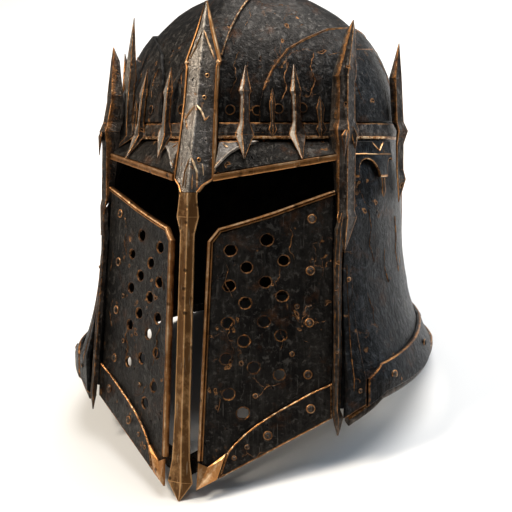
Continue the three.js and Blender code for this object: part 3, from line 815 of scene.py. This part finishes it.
spikes = {
    "spike_inner_right": spike(20.6, 294.6, 277, 3.6),
    "spike_inner_left": mirrored(spike(20.6, 294.6, 277, 3.6, painted_lit_face=1, turn=-20)),
    "spike_middle_right": spike(43.6, 295, 277, 3.3),
    "spike_middle_left": mirrored(spike(43.6, 295, 277, 3.3, painted_lit_face=1, turn=-20)),
    "spike_tall_left": mirrored(spike(56.4, 333.5, 288, 5.4, 238, painted_lit_face=1, turn=-22)),
    "spike_slim_right": stud(33, 278.5, 2.2),
    "leaf_stud_right": stud(54, 273.5, 2.9),
    "leaf_stud_left": mirrored(stud(50.5, 273.5, 2.4)),
}
for name, body in spikes.items():
    piece = forge(f"forged_{name}", body, [crown_steel, painted_lit_steel], depth=0.22, size=4, crease=26)
    mount(piece, "crown", name)


# ---------------------------------------------------------------- pilasters
# Long bars at the temples and ears lock the brow, circlet and skirt together. Each has a
# keel set off towards the face, a collar at the circlet and a spearhead at the foot. The
# right temple bar stands a little taller than the left.
def temple_pilaster(tip, shoulder, foot):
    bar = keeled_bar([
        (foot - 22, 56.6, 115.4, 0.4, 0.3, 0.3),
        (foot, 59, 115.4, 8.6, 4, 0.8),
        (foot + 5, 59, 114.2, 7.2, 3.6, 4.6),
        (241, 59.5, 113.4, 7.6, 3.6, 9),
        (250.5, 59.5, 115.2, 9.8, 4.6, 10.5),
        (257.5, 59.8, 112.4, 7.4, 3.8, 10.5),
        (shoulder - 4, 61, 109.4, 7.2, 3.6, 8.5),
        (shoulder, 61.2, 109.2, 8.2, 3.6, 8),
        (tip - 10, 64, 106.6, 3.4, 2, 4.5),
        (tip, 64.6, 105, 0.4, 0.3, 0.3),
    ], skew=-0.3, marked=[foot, 250.5, shoulder])
    near = keeled_bar([
        (233, 56, 115.8, 0.3, 0.2, 0.3), (247, 56.9, 116.2, 3.4, 1.6, 1.6), (253, 58.4, 113.4, 0.4, 0.3, 0.3),
    ], 59.5, skew=-0.2)
    far = keeled_bar([
        (238, 61.7, 113.4, 0.3, 0.2, 0.6), (247, 61.8, 114.4, 3.2, 1.6, 2.4), (253, 61, 112.6, 0.4, 0.3, 0.3),
    ], 59.5, skew=0.2)
    return joined([bar, near, far])


EAR_ROWS = [
    (200, 91, 113.6, 0.4, 0.3, 0.3), (216.3, 91, 118.4, 7.2, 4.2, 1), (223, 91, 116.6, 5.4, 3.4, 1),
    (241, 91, 116.4, 5.6, 3.4, 1.2), (250.6, 91, 119.6, 8, 4.4, 2.4), (257, 91, 116.4, 5.8, 3.6, 4),
    (288, 90.6, 114.8, 5, 3.2, 5), (312.4, 90.6, 112.7, 0.4, 0.3, 0.3),
]
pilasters = {
    "temple_pilaster_right": temple_pilaster(325, 287, 191.5),
    "temple_pilaster_left": mirrored(temple_pilaster(313, 277, 196)),
    "ear_pilaster_right": keeled_bar(EAR_ROWS),
    "ear_pilaster_left": mirrored(keeled_bar(EAR_ROWS)),
}
for name, body in pilasters.items():
    piece = forge(f"forged_{name}", body, [crown_steel], depth=0.3, size=5, crease=26)
    mount(piece, "crown", name)


# ---------------------------------------------------------------- front blade
# A tall folded plate stands in front of the skull with its keel forward. Copper strips are
# folded over both edges, and small copper ornaments are let into its faces.
BLADE_ROWS = np.array([
    (209, 107.6, 7.4, 2.5), (213.5, 107.3, 10, 5), (218, 106.4, 15.8, 8.6), (244, 100.5, 14.2, 7.6),
    (269.4, 94.2, 13, 5.8), (293.5, 89.3, 12.6, 4.4), (297.5, 88.4, 13.8, 4.4), (319, 83.4, 6.6, 2.6),
    (338.8, 78.3, 0.4, 0.3),
], float)


def blade_size(z):
    return (along(BLADE_ROWS[:, 0], column, z) for column in BLADE_ROWS[:, 1:].T)


def blade_skin(side, z, lift):
    radius, half, keel = blade_size(z)
    return np.array([side, -radius + keel * abs(side) / half - lift, z])


blade_sections = []
blade_worn = []
for z in np.unique(np.concatenate([np.arange(209, 338.8, 1.8), BLADE_ROWS[:, 0]])):
    radius, half, keel = blade_size(z)
    strip = min(2.0, 0.3 * half)
    # Rows of distance from the keel, depth behind the slope of the face, how rubbed.
    rows = [
        (min(0.6, 0.3 * half), -0.1, 0.3), (min(1.3, 0.4 * half), 0.12, 0.2), ((half - strip) * 0.5, 0.3, 0),
        (half - strip - 0.2 * strip, 0.25, 0), (half - strip, 0.5, 0), (half - 0.85 * strip, -0.7, 0.7),
        (half - 0.45 * strip, -0.9, 0.6), (half - 0.12 * strip, -0.6, 1), (half, 0.1, 0.8),
    ]
    right = [(side, keel * side / half + low, mark) for side, low, mark in rows]
    right += [(half - 0.1, keel + 2, 0.1), (half * 0.4, keel * 0.4 + 2.2, 0)]
    loop = right + [(-side, low, mark) for side, low, mark in right[::-1]]
    blade_sections.append(np.array([(side, -radius + low, z) for side, low, _ in loop]))
    blade_worn.append([mark for _, _, mark in loop])
# The keel and the face on the left are painted in the lighter steel, as painted light from the lamp on the
# left.
blade_kinds = [3, 0, 0, 0, 1, 1, 1, 1, 1, 2, 2, 2, 1, 1, 1, 1, 1, 3, 3, 3, 3, 3]
blade_body = ring_body(blade_sections, blade_worn, blade_kinds)
# The back of the blade is painted in the near-black painted shade.
blade_metals = [blade_steel, trim_copper, painted_shade, painted_lit_steel]
blade = forge("blade", blade_body, blade_metals, depth=0.22, size=5, crease=28)
mount(blade, "blade", "front_blade")

blade_lines = beads(blade_skin, [
    ([(-0.5, 267.6), (-5, 263.6), (-9.4, 258.4), (-10, 262.2)], 1.7, 0.9),
    ([(-9.2, 257.6), (-6.4, 251)], 1.5, 0.7),
    ([(0.5, 267.6), (4.2, 262.4), (6.4, 257.2), (8.6, 260.2)], 1.5, 0.8),
    ([(-0.5, 317.5), (-4.8, 308), (-9.8, 299)], 1.3, 0.7),
    ([(0.5, 318.5), (4.6, 309), (9.6, 298.4)], 1.3, 0.7),
    ([(-0.6, 232), (-4.4, 222.5), (-5.4, 212)], 1.6, 0.9),
    ([(0.6, 232), (4.6, 222.5), (5.6, 212)], 1.6, 0.9),
    ([(-2.2, 221), (-2.6, 211)], 1.0, 0.5),
    ([(2.2, 221), (2.6, 211)], 1.0, 0.5),
    ([(7.4, 228), (8.8, 220)], 1.0, 0.4),
])
STUD = [(2.0, -0.4, 0, 0), (1.9, 0.4, 0.6, 0), (1.2, 1.1, 1, 0), (0.4, 1.3, 1, 0)]
# The spots have a near-black centre of painted shade, for the shade in the pit.
SPOT = [(1.7, -0.3, 0, 0), (1.6, 0.3, 0.8, 0), (1.1, 0.5, 1, 0), (0.8, 0.1, 0, 1), (0.3, 0.05, 0, 1)]
blade_studs = joined(
    [turned(blade_skin, p, STUD, 4) for p in [(-12, 296.6), (12, 296.6)]]
    + [turned(blade_skin, p, SPOT, 12) for p in [(5.6, 287.5), (4.8, 272.6), (5.2, 230.6)]]
    + [blade_lines]
)
mount(forge("blade_ornaments", blade_studs, [trim_copper, painted_shade]), "copper")

# ---------------------------------------------------------------- nasal bar
# A copper-faced bar drops from the blade to the chin between the two cheek plates, with a
# diamond swelling below the junction and a pointed foot.
NASAL_ROWS = [
    (0.4, 0, 121.6, 0.6, 0.3, 0.6), (13, 0, 120.9, 9.6, 1.9, 3), (28, 0, 119.8, 6.8, 1.9, 3.4),
    (60, 0, 117.4, 5.8, 2.0, 3.4), (176, 0, 109.4, 5.4, 2.2, 3.4), (181, 0, 109.1, 5.4, 2.4, 3.4),
    (192.3, 0, 108.8, 8.4, 2.9, 3.2), (206, 0, 108.2, 6.8, 2.7, 3.2), (208.7, 0, 107.9, 7.2, 2.7, 2),
]
# A lighter copy of the trim copper: the copper's own colour brightened as painted light for the light the bar
# catches.
nasal_copper_painted_light = worn_copper(
    "nasal_copper_painted_light", (0.18, 0.085, 0.031, 1), (0.74, 0.41, 0.17, 1), (0.98, 0.80, 0.55, 1),
)
nasal_body = keeled_bar(NASAL_ROWS, skew=0.14, shift=-0.8, step=2.0, marked=[13, 192.3])
nasal = forge("nasal", nasal_body, [nasal_copper_painted_light], depth=0.32, size=4.5, crease=26)
mount(nasal, "copper", "nasal_bar")


# ---------------------------------------------------------------- cheek plates
# Two flat plates hang below the slit, pierced with rows of breathing holes. Each hole is
# punched from outside and its lip is countersunk, so that the rubbed rim catches the light.
def loop_points(outline, step):
    corners = np.array(outline, float)
    if np.sum(corners[:, 0] * np.roll(corners[:, 1], -1) - corners[:, 1] * np.roll(corners[:, 0], -1)) < 0:
        corners = corners[::-1]
    ahead = np.roll(corners, -1, axis=0) - corners
    long = np.linalg.norm(ahead, axis=1)
    inward = np.stack([-ahead[:, 1], ahead[:, 0]], axis=1) / long[:, None]
    places = []
    pulls = []
    for k in range(len(corners)):
        before = inward[k - 1]
        places.append(corners[k])
        pulls.append((before + inward[k]) / max(0.5, 1 + before @ inward[k]))
        parts = max(1, round(long[k] / step))
        for n in range(1, parts):
            places.append(corners[k] + ahead[k] * n / parts)
            pulls.append(inward[k])
    return np.array(places), np.array(pulls)


# Which of the points lie inside an outline.
def inside(outline, points):
    corners = np.array(outline, float)
    after = np.roll(corners, -1, axis=0)
    hit = np.zeros(len(points), bool)
    for a, b in zip(corners, after):
        if a[1] == b[1]:
            continue
        crossing = (a[1] > points[:, 1]) != (b[1] > points[:, 1])
        hit ^= crossing & (points[:, 0] < (b[0] - a[0]) * (points[:, 1] - a[1]) / (b[1] - a[1]) + a[0])
    return hit


# A staggered net of places inside an outline.
def net_inside(outline, low, high, step):
    rows = []
    for k, z in enumerate(np.arange(low[1] + step / 2, high[1], step * 0.87)):
        for x in np.arange(low[0] + (k % 2) * step / 2, high[0], step):
            shift = [0.3 * noise.noise(Vector((x, z, seed)) * 0.7) for seed in (3, 9)]
            rows.append((x + shift[0], z + shift[1]))
    rows = np.array(rows)
    return rows[inside(outline, rows)]


# A plate cut to an outline on a surface, with filed lips and countersunk round holes.
def cut_plate(skin, outline, top, bottom, holes=(), bare=0.8, lip=0.6, step=2.6):
    flat, lifts, worn, weight, edges = [], [], [], [], []

    def add_loop(places, lift, mark):
        start = len(flat)
        flat.extend(places.tolist())
        lifts.extend([lift] * len(places))
        worn.extend([mark] * len(places))
        weight.extend([0.0] * len(places))
        edges.extend((start + k, start + (k + 1) % len(places)) for k in range(len(places)))

    places, pulls = loop_points(outline, step)
    add_loop(places, top - lip * 0.8, bare)
    add_loop(places + pulls * lip, top, bare)
    add_loop(places + pulls * lip * 2.4, top, bare * 0.2)
    turns = np.linspace(0, 2 * np.pi, 20, endpoint=False)
    for x, z, radius in holes:
        spots = [Vector((x + math.cos(t), z + math.sin(t), 0)) for t in turns]
        wobble = np.array([1 + 0.1 * noise.noise(spot * 0.9) for spot in spots])
        circle = np.stack([np.cos(turns), np.sin(turns) * 1.04], axis=1) * wobble[:, None]
        for wider, low, mark in ((0, 0.8, 0.6), (0.5, 0.05, 0.6), (1.1, 0, 0.1)):
            add_loop(np.array([x, z]) + circle * (radius + wider), top - low, mark)
    low, high = np.min(outline, axis=0), np.max(outline, axis=0)
    for x, z in net_inside(places + pulls * (lip * 2.4 + 1.2), low, high, step):
        if all(math.hypot(x - hx, z - hz) > radius + 2.3 for hx, hz, radius in holes):
            flat.append([x, z])
            lifts.append(top)
            worn.append(0.0)
            weight.append(1.0)
    found, _, triangles, origin, _, _ = delaunay_2d_cdt([Vector(p) for p in flat], edges, [], 0, 1e-5)
    found = np.array([tuple(p) for p in found])
    source = np.array([o[0] if o else 0 for o in origin])
    triangles = np.array([t for t in triangles if len(t) == 3])
    centre = found[triangles].mean(axis=1)
    kept = inside(outline, centre)
    for x, z, radius in holes:
        kept &= np.hypot(centre[:, 0] - x, centre[:, 1] - z) > radius * 0.93
    triangles = triangles[kept]
    count = len(found)
    lift = np.array(lifts)[source]
    front = skin(found[:, 0], found[:, 1], lift)
    back = skin(found[:, 0], found[:, 1], np.full(count, bottom))
    faces = triangles.tolist() + (triangles[:, ::-1] + count).tolist()
    which = [0] * len(triangles) + [1] * len(triangles)
    ways = {}
    for a, b, c in triangles:
        for way in ((a, b), (b, c), (c, a)):
            ways[tuple(sorted(way))] = None if tuple(sorted(way)) in ways else way
    for way in ways.values():
        if way is not None:
            a, b = int(way[0]), int(way[1])
            faces.append((b, a, a + count, b + count))
            which.append(0)
    marks = np.concatenate([np.array(worn)[source], np.zeros(count)])
    reach = np.concatenate([np.array(weight)[source], np.zeros(count)])
    return np.concatenate([front, back]), faces, marks, which, reach


def cheek_foot(x):
    return 9 + (x - 11.6) * 0.591


RIM = 3.0
CHEEK_OUTLINE = [
    (11.9 + RIM, cheek_foot(15)), (91.9, cheek_foot(92)), (88.8, 150), (87.4, 206.6),
    (52, 195.8 - RIM), (20.4, 184.6 - RIM - 0.6), (13.2 + RIM + 0.3, 174.6),
]
CHEEK_HOLES = [
    (27, 170, 3.6), (27, 146, 3.6), (27, 121, 3.6), (27, 97, 3.6), (37, 158.5, 3.4), (37, 134.5, 3.6),
    (37, 109, 3.6), (48.5, 177, 3.8), (48.5, 148.5, 3.6), (48.5, 122, 3.6), (59, 163, 3.3), (59, 139, 3.4),
    (59, 112.5, 3.4), (59, 86, 3.3), (43.5, 91, 3.7), (29, 73.5, 3.6), (38, 60.5, 3.6),
]
cheek_body = cut_plate(face, CHEEK_OUTLINE, 0.0, -2.0, CHEEK_HOLES, bare=0.3)
pair("cheek", cheek_body, [plate_steel, painted_shade], "plate", "cheek_plate", depth=0.5, size=10)

# ---------------------------------------------------------------- cheek rims
# A copper rim is folded over each cheek plate along the slit, round the cut corner and down
# the front edge: a rubbed bead outside, with a painted highlight along its crest, and a darker
# bead inside.
RIM_PATH = [(87.4, 210.2), (70, 203.3), (52, 195.9), (36, 190.2), (19.2, 184.8), (13.2, 176), (11.9, 29)]
# Rows of distance in from the edge, lift and how rubbed.
RIM_SECTION = [
    (0, -2, 0), (0, 0.8, 0.6), (0.35, 1.6, 1), (1.1, 1.85, 1), (1.6, 1.3, 0.5), (1.85, 0.6, 0),
    (2.2, 0.7, 0.1), (2.6, 1.25, 0.5), (3.1, 1.2, 0.5), (3.4, 0.2, 0.1), (3.4, -2, 0),
]
rim_line = []
for (x0, z0), (x1, z1) in zip(RIM_PATH[:-1], RIM_PATH[1:]):
    parts = max(1, round(math.hypot(x1 - x0, z1 - z0) / 2.0))
    rim_line += [(x0 + (x1 - x0) * n / parts, z0 + (z1 - z0) * n / parts) for n in range(parts)]
rim_line = np.array(rim_line + [RIM_PATH[-1]])
rim_ahead = np.gradient(rim_line, axis=0)
for k in range(1, len(rim_line) - 1):
    before, after = rim_line[k] - rim_line[k - 1], rim_line[k + 1] - rim_line[k]
    rim_ahead[k] = before / np.linalg.norm(before) + after / np.linalg.norm(after)
rim_in = np.stack([-rim_ahead[:, 1], rim_ahead[:, 0]], axis=1)
rim_in /= np.linalg.norm(rim_in, axis=1, keepdims=True)


def rim_spot(line, away, lift):
    place, pull = line
    return face(*(place + pull * away), lift)


rim_body = swept(RIM_SECTION, list(zip(rim_line, rim_in)), rim_spot)
pair("rim", rim_body, [trim_copper], "copper", "cheek_rim", depth=0.32, size=4)

# ---------------------------------------------------------------- cheek hems
# A lower plate laps over the foot of each cheek with a curved upper edge, and a faceted
# copper spearhead closes it at the chin.
HEM_OUTLINE = [
    (24.8, cheek_foot(24.8)), (91.4, cheek_foot(91.4)), (90.6, 80), (77.5, 73.5), (63.4, 64.7), (55, 59.3),
    (46.6, 53), (40, 47.2), (33.9, 40.6), (29.4, 34.4),
]
hem_body = cut_plate(face, HEM_OUTLINE, 2.0, 0.2, bare=0.95, step=2.4)
# A chin point: its outline on the plate, then the ridge from the tip to the hem's edge.
CHIN_OUTLINE = [(11.8, 9.4), (24, cheek_foot(24)), (28.6, 33.6), (18.2, 24.6), (12.4, 27.6)]
CHIN_RIDGE = [(13.4, 12.4), (19.6, 20.4), (26.4, 30)]
chin_points = [face(x, z, 0.2) for x, z in CHIN_OUTLINE] + [face(x, z, 1.6) for x, z in CHIN_OUTLINE]
chin_points += [face(x, z, lift) for (x, z), lift in zip(CHIN_RIDGE, (2.6, 3.6, 3.0))]
chin_faces = [(4, 3, 2, 1, 0)] + [(k, (k + 1) % 5, 5 + (k + 1) % 5, 5 + k) for k in range(5)]
chin_faces += [
    (5, 6, 10), (6, 11, 10), (6, 7, 11), (7, 12, 11), (7, 8, 12), (8, 11, 12), (8, 10, 11), (8, 9, 10),
    (9, 5, 10),
]
chin_body = (
    np.array(chin_points), chin_faces, np.array([0.3] * 5 + [0.9, 0.5, 0.9, 0.6, 0.8] + [1.0] * 3),
    [0] * len(chin_faces), np.zeros(13),
)
pair("hem", hem_body, [plate_steel, painted_shade], "plate", "cheek_hem", depth=0.4, size=9)
pair("chin", chin_body, [trim_copper], "copper", "chin_point", crease=12)
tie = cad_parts["chin_tie"]
for place in tie.material_slots:
    place.material = plate_steel

# Rivets hold the plates down: a domed head in a rubbed copper washer.
RIVET = [
    (3.3, -0.4, 0, 0), (3.2, 0.3, 0.6, 0), (2.8, 0.6, 1, 0), (2.3, 0.45, 0.7, 0), (2.1, 0.7, 0, 0),
    (1.7, 1.2, 0, 0), (1.0, 1.6, 0.3, 0), (0.4, 1.75, 0.6, 0),
]
SMALL_RIVET = [(0.55 * radius, 0.7 * height, mark, metal) for radius, height, mark, metal in RIVET]
cheek_rivets = [turned(face, p, RIVET, 16) for p in [(75, 191), (75.2, 156), (75.8, 121), (76, 86)]]
cheek_rivets += [turned(face, p, SMALL_RIVET, 12) for p in [(68, 132), (66, 100), (45, 72)]]


def over_hem(x, z, lift):
    return face(x, z, lift + 2.0)


cheek_rivets += [turned(over_hem, p, RIVET, 16) for p in [(78.3, 63.2), (53.2, 45.6)]]
cheek_rivets += [turned(over_hem, p, SMALL_RIVET, 12) for p in [(41.1, 38.1), (33.7, 30.8)]]
pair("cheek_rivets", joined(cheek_rivets), [crown_steel], "plate")


# Old cracks in the cheeks and hems, washed with copper. The two cheeks differ.
CHEEK_CRACKS = {
    "right": [
        ([(22, 166), (26, 158), (24.5, 149), (29, 138)], *PLAIN),
        ([(61, 188), (64, 180), (62, 171), (66, 163)], *PLAIN),
        ([(30, 122), (27, 113), (31, 104), (29, 94)], *PLAIN), ([(58, 118), (61, 110), (58, 101)], *FINE),
        ([(82, 180), (80, 168), (83, 158), (81, 146)], *WIDE), ([(72, 110), (79, 104), (84, 95)], *FINE),
        ([(46, 70), (52, 78), (60, 80)], *FINE), ([(20, 78), (24, 70), (23, 61)], *PLAIN),
        ([(83, 134), (76, 130), (70, 121)], 0.6, 0.15),
    ],
    "left": [
        ([(20, 160), (24, 150), (21, 141)], *PLAIN), ([(70, 190), (66, 181), (69, 170), (65, 160)], *PLAIN),
        ([(24, 116), (28, 108), (26, 97), (31, 88)], *PLAIN), ([(84, 172), (82, 160), (85, 148)], *WIDE),
        ([(60, 112), (64, 104), (60, 96), (63, 86)], *PLAIN), ([(80, 128), (84, 118), (81, 108)], *FINE),
        ([(36, 74), (42, 66), (50, 64)], *FINE),
    ],
}
for side, paths in CHEEK_CRACKS.items():
    body = on_side(side, cracks(face, paths))
    mount(forge(f"cheek_cracks_{side}", body, [plate_steel]), "plate")


# ---------------------------------------------------------------- neck skirt
# One sheet runs from temple to temple round the back, straight at the ears and flared to
# the hem. It was drawn down with long strokes, which left upright brushed streaks.
def ease(start, end, value):
    t = np.clip((value - start) / (end - start), 0, 1)
    return t * t * (3 - 2 * t)


REST_SLOPE = math.tan(LEAN)


# The hem line is steep beside the cheeks, then rises gently, and behind it is the line of
# the floor that the helm rests on.
def hem_height(y):
    y = np.asarray(y, float)
    return np.where(y < -54, 68.2 + (y + 54) * 1.02, np.maximum(79 + 0.2 * y, REST_SLOPE * (y + 121.6)))


# Plan radius of the skirt: drawn in to the skull above, flared to the foot, and tucked in
# behind the guards.
def skirt_radius(angle, z):
    side = np.minimum(angle, 360 - np.asarray(angle))
    foot = np.maximum(84, hem_height(-134 * np.cos(np.radians(side))))
    reach = 12.7 + 10.3 * ease(52, 67, side)
    drop = np.clip((200 - z) / (200 - foot), 0, 1)
    tuck = 7 * ease(76, 62, side) * ease(192, 208, z)
    neck = ease(212, 245.3, z)
    body = 111 + reach * drop ** 2.7 - tuck
    return body + (skull_radius(side) + 1.6 - body) * neck


HEM_LEVEL = 90


# The height of the hem line at an angle, a little way out from the sheet.
def hem_at(angle, out):
    radius = skirt_radius(angle, HEM_LEVEL) + out
    return hem_height(-radius * np.cos(np.radians(angle)))


def skirt(angle, z, lift):
    return around(angle, skirt_radius(angle, z) + lift, z)


SKIRT_TOP = 243.3
ROLL_HEIGHT = 6


# In front the sheet is turned in behind the guard, and its edge lies flat on the back of the
# cheek plate.
def skirt_skin(u, v, lift):
    angle = 50 + 260 * u
    side = np.minimum(angle, 360 - angle)
    low = hem_at(np.maximum(side, 58.6), 0) + ROLL_HEIGHT + 0.3
    z = low + (SKIRT_TOP + 3 - low) * v
    start = along([190, 206], [84.5, 90.4], z)
    x = start + (91.5 - start) * np.clip((side - 50) / 7, 0, 1)
    flange = face(x, z, lift - 2.6) * np.where(angle < 180, 1, -1)[..., None] ** np.array([1, 0, 0])
    share = ease(54, 58, side)[..., None]
    return flange * (1 - share) + skirt(angle, z, lift) * share


skirt_steel = blackened_steel(
    "skirt_steel", (0.004, 0.0038, 0.0036, 1), (0.013, 0.0126, 0.0124, 1), (0.06, 0.0615, 0.064, 1),
    brushed=0.55, rust=0.4, shine=0.3,
)
skirt_body = sheet(skirt_skin, 0.0, -2.0, stations(540, 2.4), stations(160, 2.6), bare=(0.2, 0.2, 0, 0))
neck_skirt = forge("skirt", skirt_body, [skirt_steel, painted_shade], depth=0.6, size=14)
mount(neck_skirt, "skirt", "neck_skirt")


# A band is laid round the foot of the skirt and riveted, with a rubbed upper lip.
def band_skin(u, v, lift):
    angle = 60.2 + 239.6 * u
    return skirt(angle, hem_at(angle, 0) + 6.3 + 18.7 * v, lift)


lap_body = sheet(band_skin, 3.2, 0.6, stations(520, 2.6), stations(20, 2.4), bare=(0.6, 0.6, 0.4, 0.75))
lap = forge("skirt_lap", lap_body, [skirt_steel, painted_shade], depth=0.45, size=11)
mount(lap, "skirt", "skirt_band")

# The hem is rolled over a wire into a thick bead. Behind, the helm rests on it.
# Rows of how far out, height over the hem line and how rubbed.
ROLL_SECTION = [
    (-3.4, 0.1, 0), (-1.6, 0, 0.1), (0.6, 0, 0.2), (1.7, 0.5, 0.5), (2.3, 1.6, 0.3), (2.5, 2.9, 0.1),
    (2.3, 4.2, 0.3), (1.9, 4.8, 0.1), (2.3, 5.3, 0.9), (2.0, 6, 1), (1.2, 6.2, 0.6), (-2.6, 6, 0),
]


def roll_spot(angle, out, up):
    return around(angle, skirt_radius(angle, HEM_LEVEL) + out, hem_at(angle, out) + up)


roll_body = swept(ROLL_SECTION, np.linspace(55.4, 304.6, 300), roll_spot)
roll = forge("rolled_hem", roll_body, [crown_steel])
mount(roll, "skirt", "hem_roll")

skirt_rivets = []
for angle in (69, 96, 122, 148, 180, 212, 238, 264, 291):
    z = float(hem_at(angle, 0)) + 15.5
    skirt_rivets.append(turned(lambda a, b, lift: skirt(a, b, lift + 3.2), (angle, z), RIVET, 16))
mount(forge("skirt_rivets", joined(skirt_rivets), [crown_steel]), "skirt")

skirt_cracks = cracks(skirt, [
    ([(70, 196), (71.5, 184), (70.2, 174), (72.6, 160)], *WIDE),
    ([(80, 168), (78.6, 156), (81, 144)], *PLAIN),
    ([(67, 140), (69, 128), (68, 117)], *PLAIN), ([(90, 190), (91.5, 176), (89.8, 164), (92, 150)], *WIDE),
    ([(110, 206), (108, 190), (111, 178)], *PLAIN), ([(140, 180), (143, 166), (141, 150)], *WIDE),
    ([(196, 200), (193, 186), (197, 170)], *WIDE), ([(232, 170), (235, 154), (233, 142)], *PLAIN),
    ([(272, 192), (270, 176), (273, 160)], *WIDE), ([(289, 172), (287, 158), (290, 140)], *WIDE),
])
mount(forge("skirt_cracks", skirt_cracks, [skirt_steel]), "skirt")

# ---------------------------------------------------------------- cheek guards
# Where the skirt laps the cheek a thick bar is riveted down its edge, pitted and rubbed,
# ending in a spear facet. A strip behind it covers the joint.
GUARD_ROWS = [
    (45.5, 51.7, 123.7, 0.5, 0.3, 0.6), (57.5, 51.9, 125.0, 3.9, 1.3, 3), (63, 51.4, 124.6, 2.7, 1.4, 3.2),
    (100, 52.7, 121.2, 2.8, 1.4, 3), (150, 54, 116.4, 2.8, 1.4, 3), (165, 54.6, 115.2, 2.8, 1.4, 3),
    (184, 55.4, 114.8, 2.8, 1.4, 3.4), (195, 56.6, 114.2, 1.2, 0.9, 4),
]
guard_body = keeled_bar(GUARD_ROWS, step=1.8, skew=-0.2, rub=0.7, marked=[57.5])
KEEL_HEIGHTS = [45.5, 62, 100, 150, 165, 181]
KEEL_ANGLES = [51.7, 51.6, 52.7, 54, 54.6, 55.2]


def strip_skin(u, v, lift):
    low = 57.6 + 8.4 * u
    z = low + (169 - low) * v
    start = along(KEEL_HEIGHTS, KEEL_ANGLES, z) + 1.8
    return skirt(start + (59.6 - start) * u, z, lift)


strip_body = sheet(strip_skin, 3.2, 0.4, stations(14, 1.6), stations(110, 2.2), bare=(0.3, 0.55, 0.8, 0.4))


def over_strip(angle, z, lift):
    return skirt(angle, z, lift + 3.2)


strip_lines = joined([
    beads(over_strip, [([(57.6, 160), (57.2, 130), (56.4, 100), (56.0, 76)], 0.9, 0.4)], worn=0.6),
    turned(over_strip, (57.8, 76), SMALL_RIVET, 12), turned(over_strip, (58.1, 150), SMALL_RIVET, 12),
])
pair("guard", guard_body, [crown_steel], "skirt", "guard_edge", depth=0.6, size=3.6, crease=26)
pair("strip", strip_body, [skirt_steel, painted_shade], "skirt", "guard_strip", depth=0.35, size=8)
pair("strip_lines", strip_lines, [crown_steel], "skirt")


# ---------------------------------------------------------------- ear plates
# Under the circlet a plate covers each ear. Its lower edge is cut into arches with a drop
# between them, and a chased line and an arrow mark run over it.
def ear_skin(u, v, lift):
    angle = 65.2 + 20.8 * u
    arch = np.maximum(0, np.maximum(1 - ((angle - 71) / 4.4) ** 2, 1 - ((angle - 84.4) / 4.2) ** 2))
    low = 218.5 + 12.5 * np.sqrt(arch)
    return skirt(angle, low + (SKIRT_TOP - low) * v, lift)


ear_body = sheet(ear_skin, 3.4, 0.4, stations(42, 0.7, 0.5), stations(18, 1.1, 0.6), bare=(0.3, 0.3, 1, 0))
ear_lines = beads(lambda a, z, lift: skirt(a, z, lift + 3.4), [
    ([(65.8, 234.2), (70, 234.4), (75, 234.2), (80, 234.3), (85.6, 234.2)], 1.2, 0.6),
    ([(74.4, 242.6), (77.4, 236.4), (80.4, 242.8)], 1.2, 0.7),
])
DROP_ROWS = [
    (204.6, 78, 112.8, 0.4, 0.3, 0.3), (208.6, 78, 114.4, 2.8, 1.6, 0.6), (213, 78, 113.8, 1.6, 1.4, 0.6),
    (217.8, 78, 113.4, 2.2, 1.2, 0.6),
]
drop_body = keeled_bar(DROP_ROWS, step=1.2, line=0.3)
pair("ear", ear_body, [skirt_steel, painted_shade], "skirt", "ear_plate", depth=0.3, size=7)
pair("ear_lines", ear_lines, [trim_copper], "skirt")
pair("drop", drop_body, [crown_steel], "skirt", "ear_drop", crease=26)

# ---------------------------------------------------------------- studio
# A plain pale floor under a wide roof lamp, with a warm lamp high on the left, a cool lamp
# behind on the right and a faint even light all round.
bpy.ops.mesh.primitive_plane_add(size=30)
floor = bpy.context.object
floor.name = "floor"
paper = bpy.data.materials.new("floor_paper")
paper.use_nodes = True
paper_sockets = paper.node_tree.nodes["Principled BSDF"].inputs
paper_sockets["Base Color"].default_value = (0.86, 0.86, 0.86, 1)
paper_sockets["Roughness"].default_value = 0.9
floor.data.materials.append(paper)


def lamp(name, spot, aim, size, power, colour):
    light = bpy.data.lights.new(name, "AREA")
    light.shape = "DISK"
    light.size = size
    light.energy = power
    light.color = colour
    lamp_object = bpy.data.objects.new(name, light)
    lamp_object.location = spot
    lamp_object.rotation_euler = (Vector(aim) - Vector(spot)).to_track_quat("-Z", "Y").to_euler()
    scene.collection.objects.link(lamp_object)


MIDDLE = (0, 0, 0.14)
lamp("roof_lamp", (0.5, 1.2, 2.3), MIDDLE, 2.4, 90, (1.0, 0.98, 0.95))
lamp("key_lamp", (-1.0, -0.3, 1.45), MIDDLE, 0.5, 26, (1.0, 0.9, 0.76))
lamp("cool_lamp", (1.3, 0.85, 0.7), MIDDLE, 0.7, 9, (0.62, 0.8, 1.0))

room = bpy.data.worlds.new("room")
room.use_nodes = True
room_sockets = room.node_tree.nodes["Background"].inputs
room_sockets["Color"].default_value = (0.95, 0.97, 1.0, 1)
room_sockets["Strength"].default_value = 0.11
scene.world = room
scene.view_settings.view_transform = "Standard"
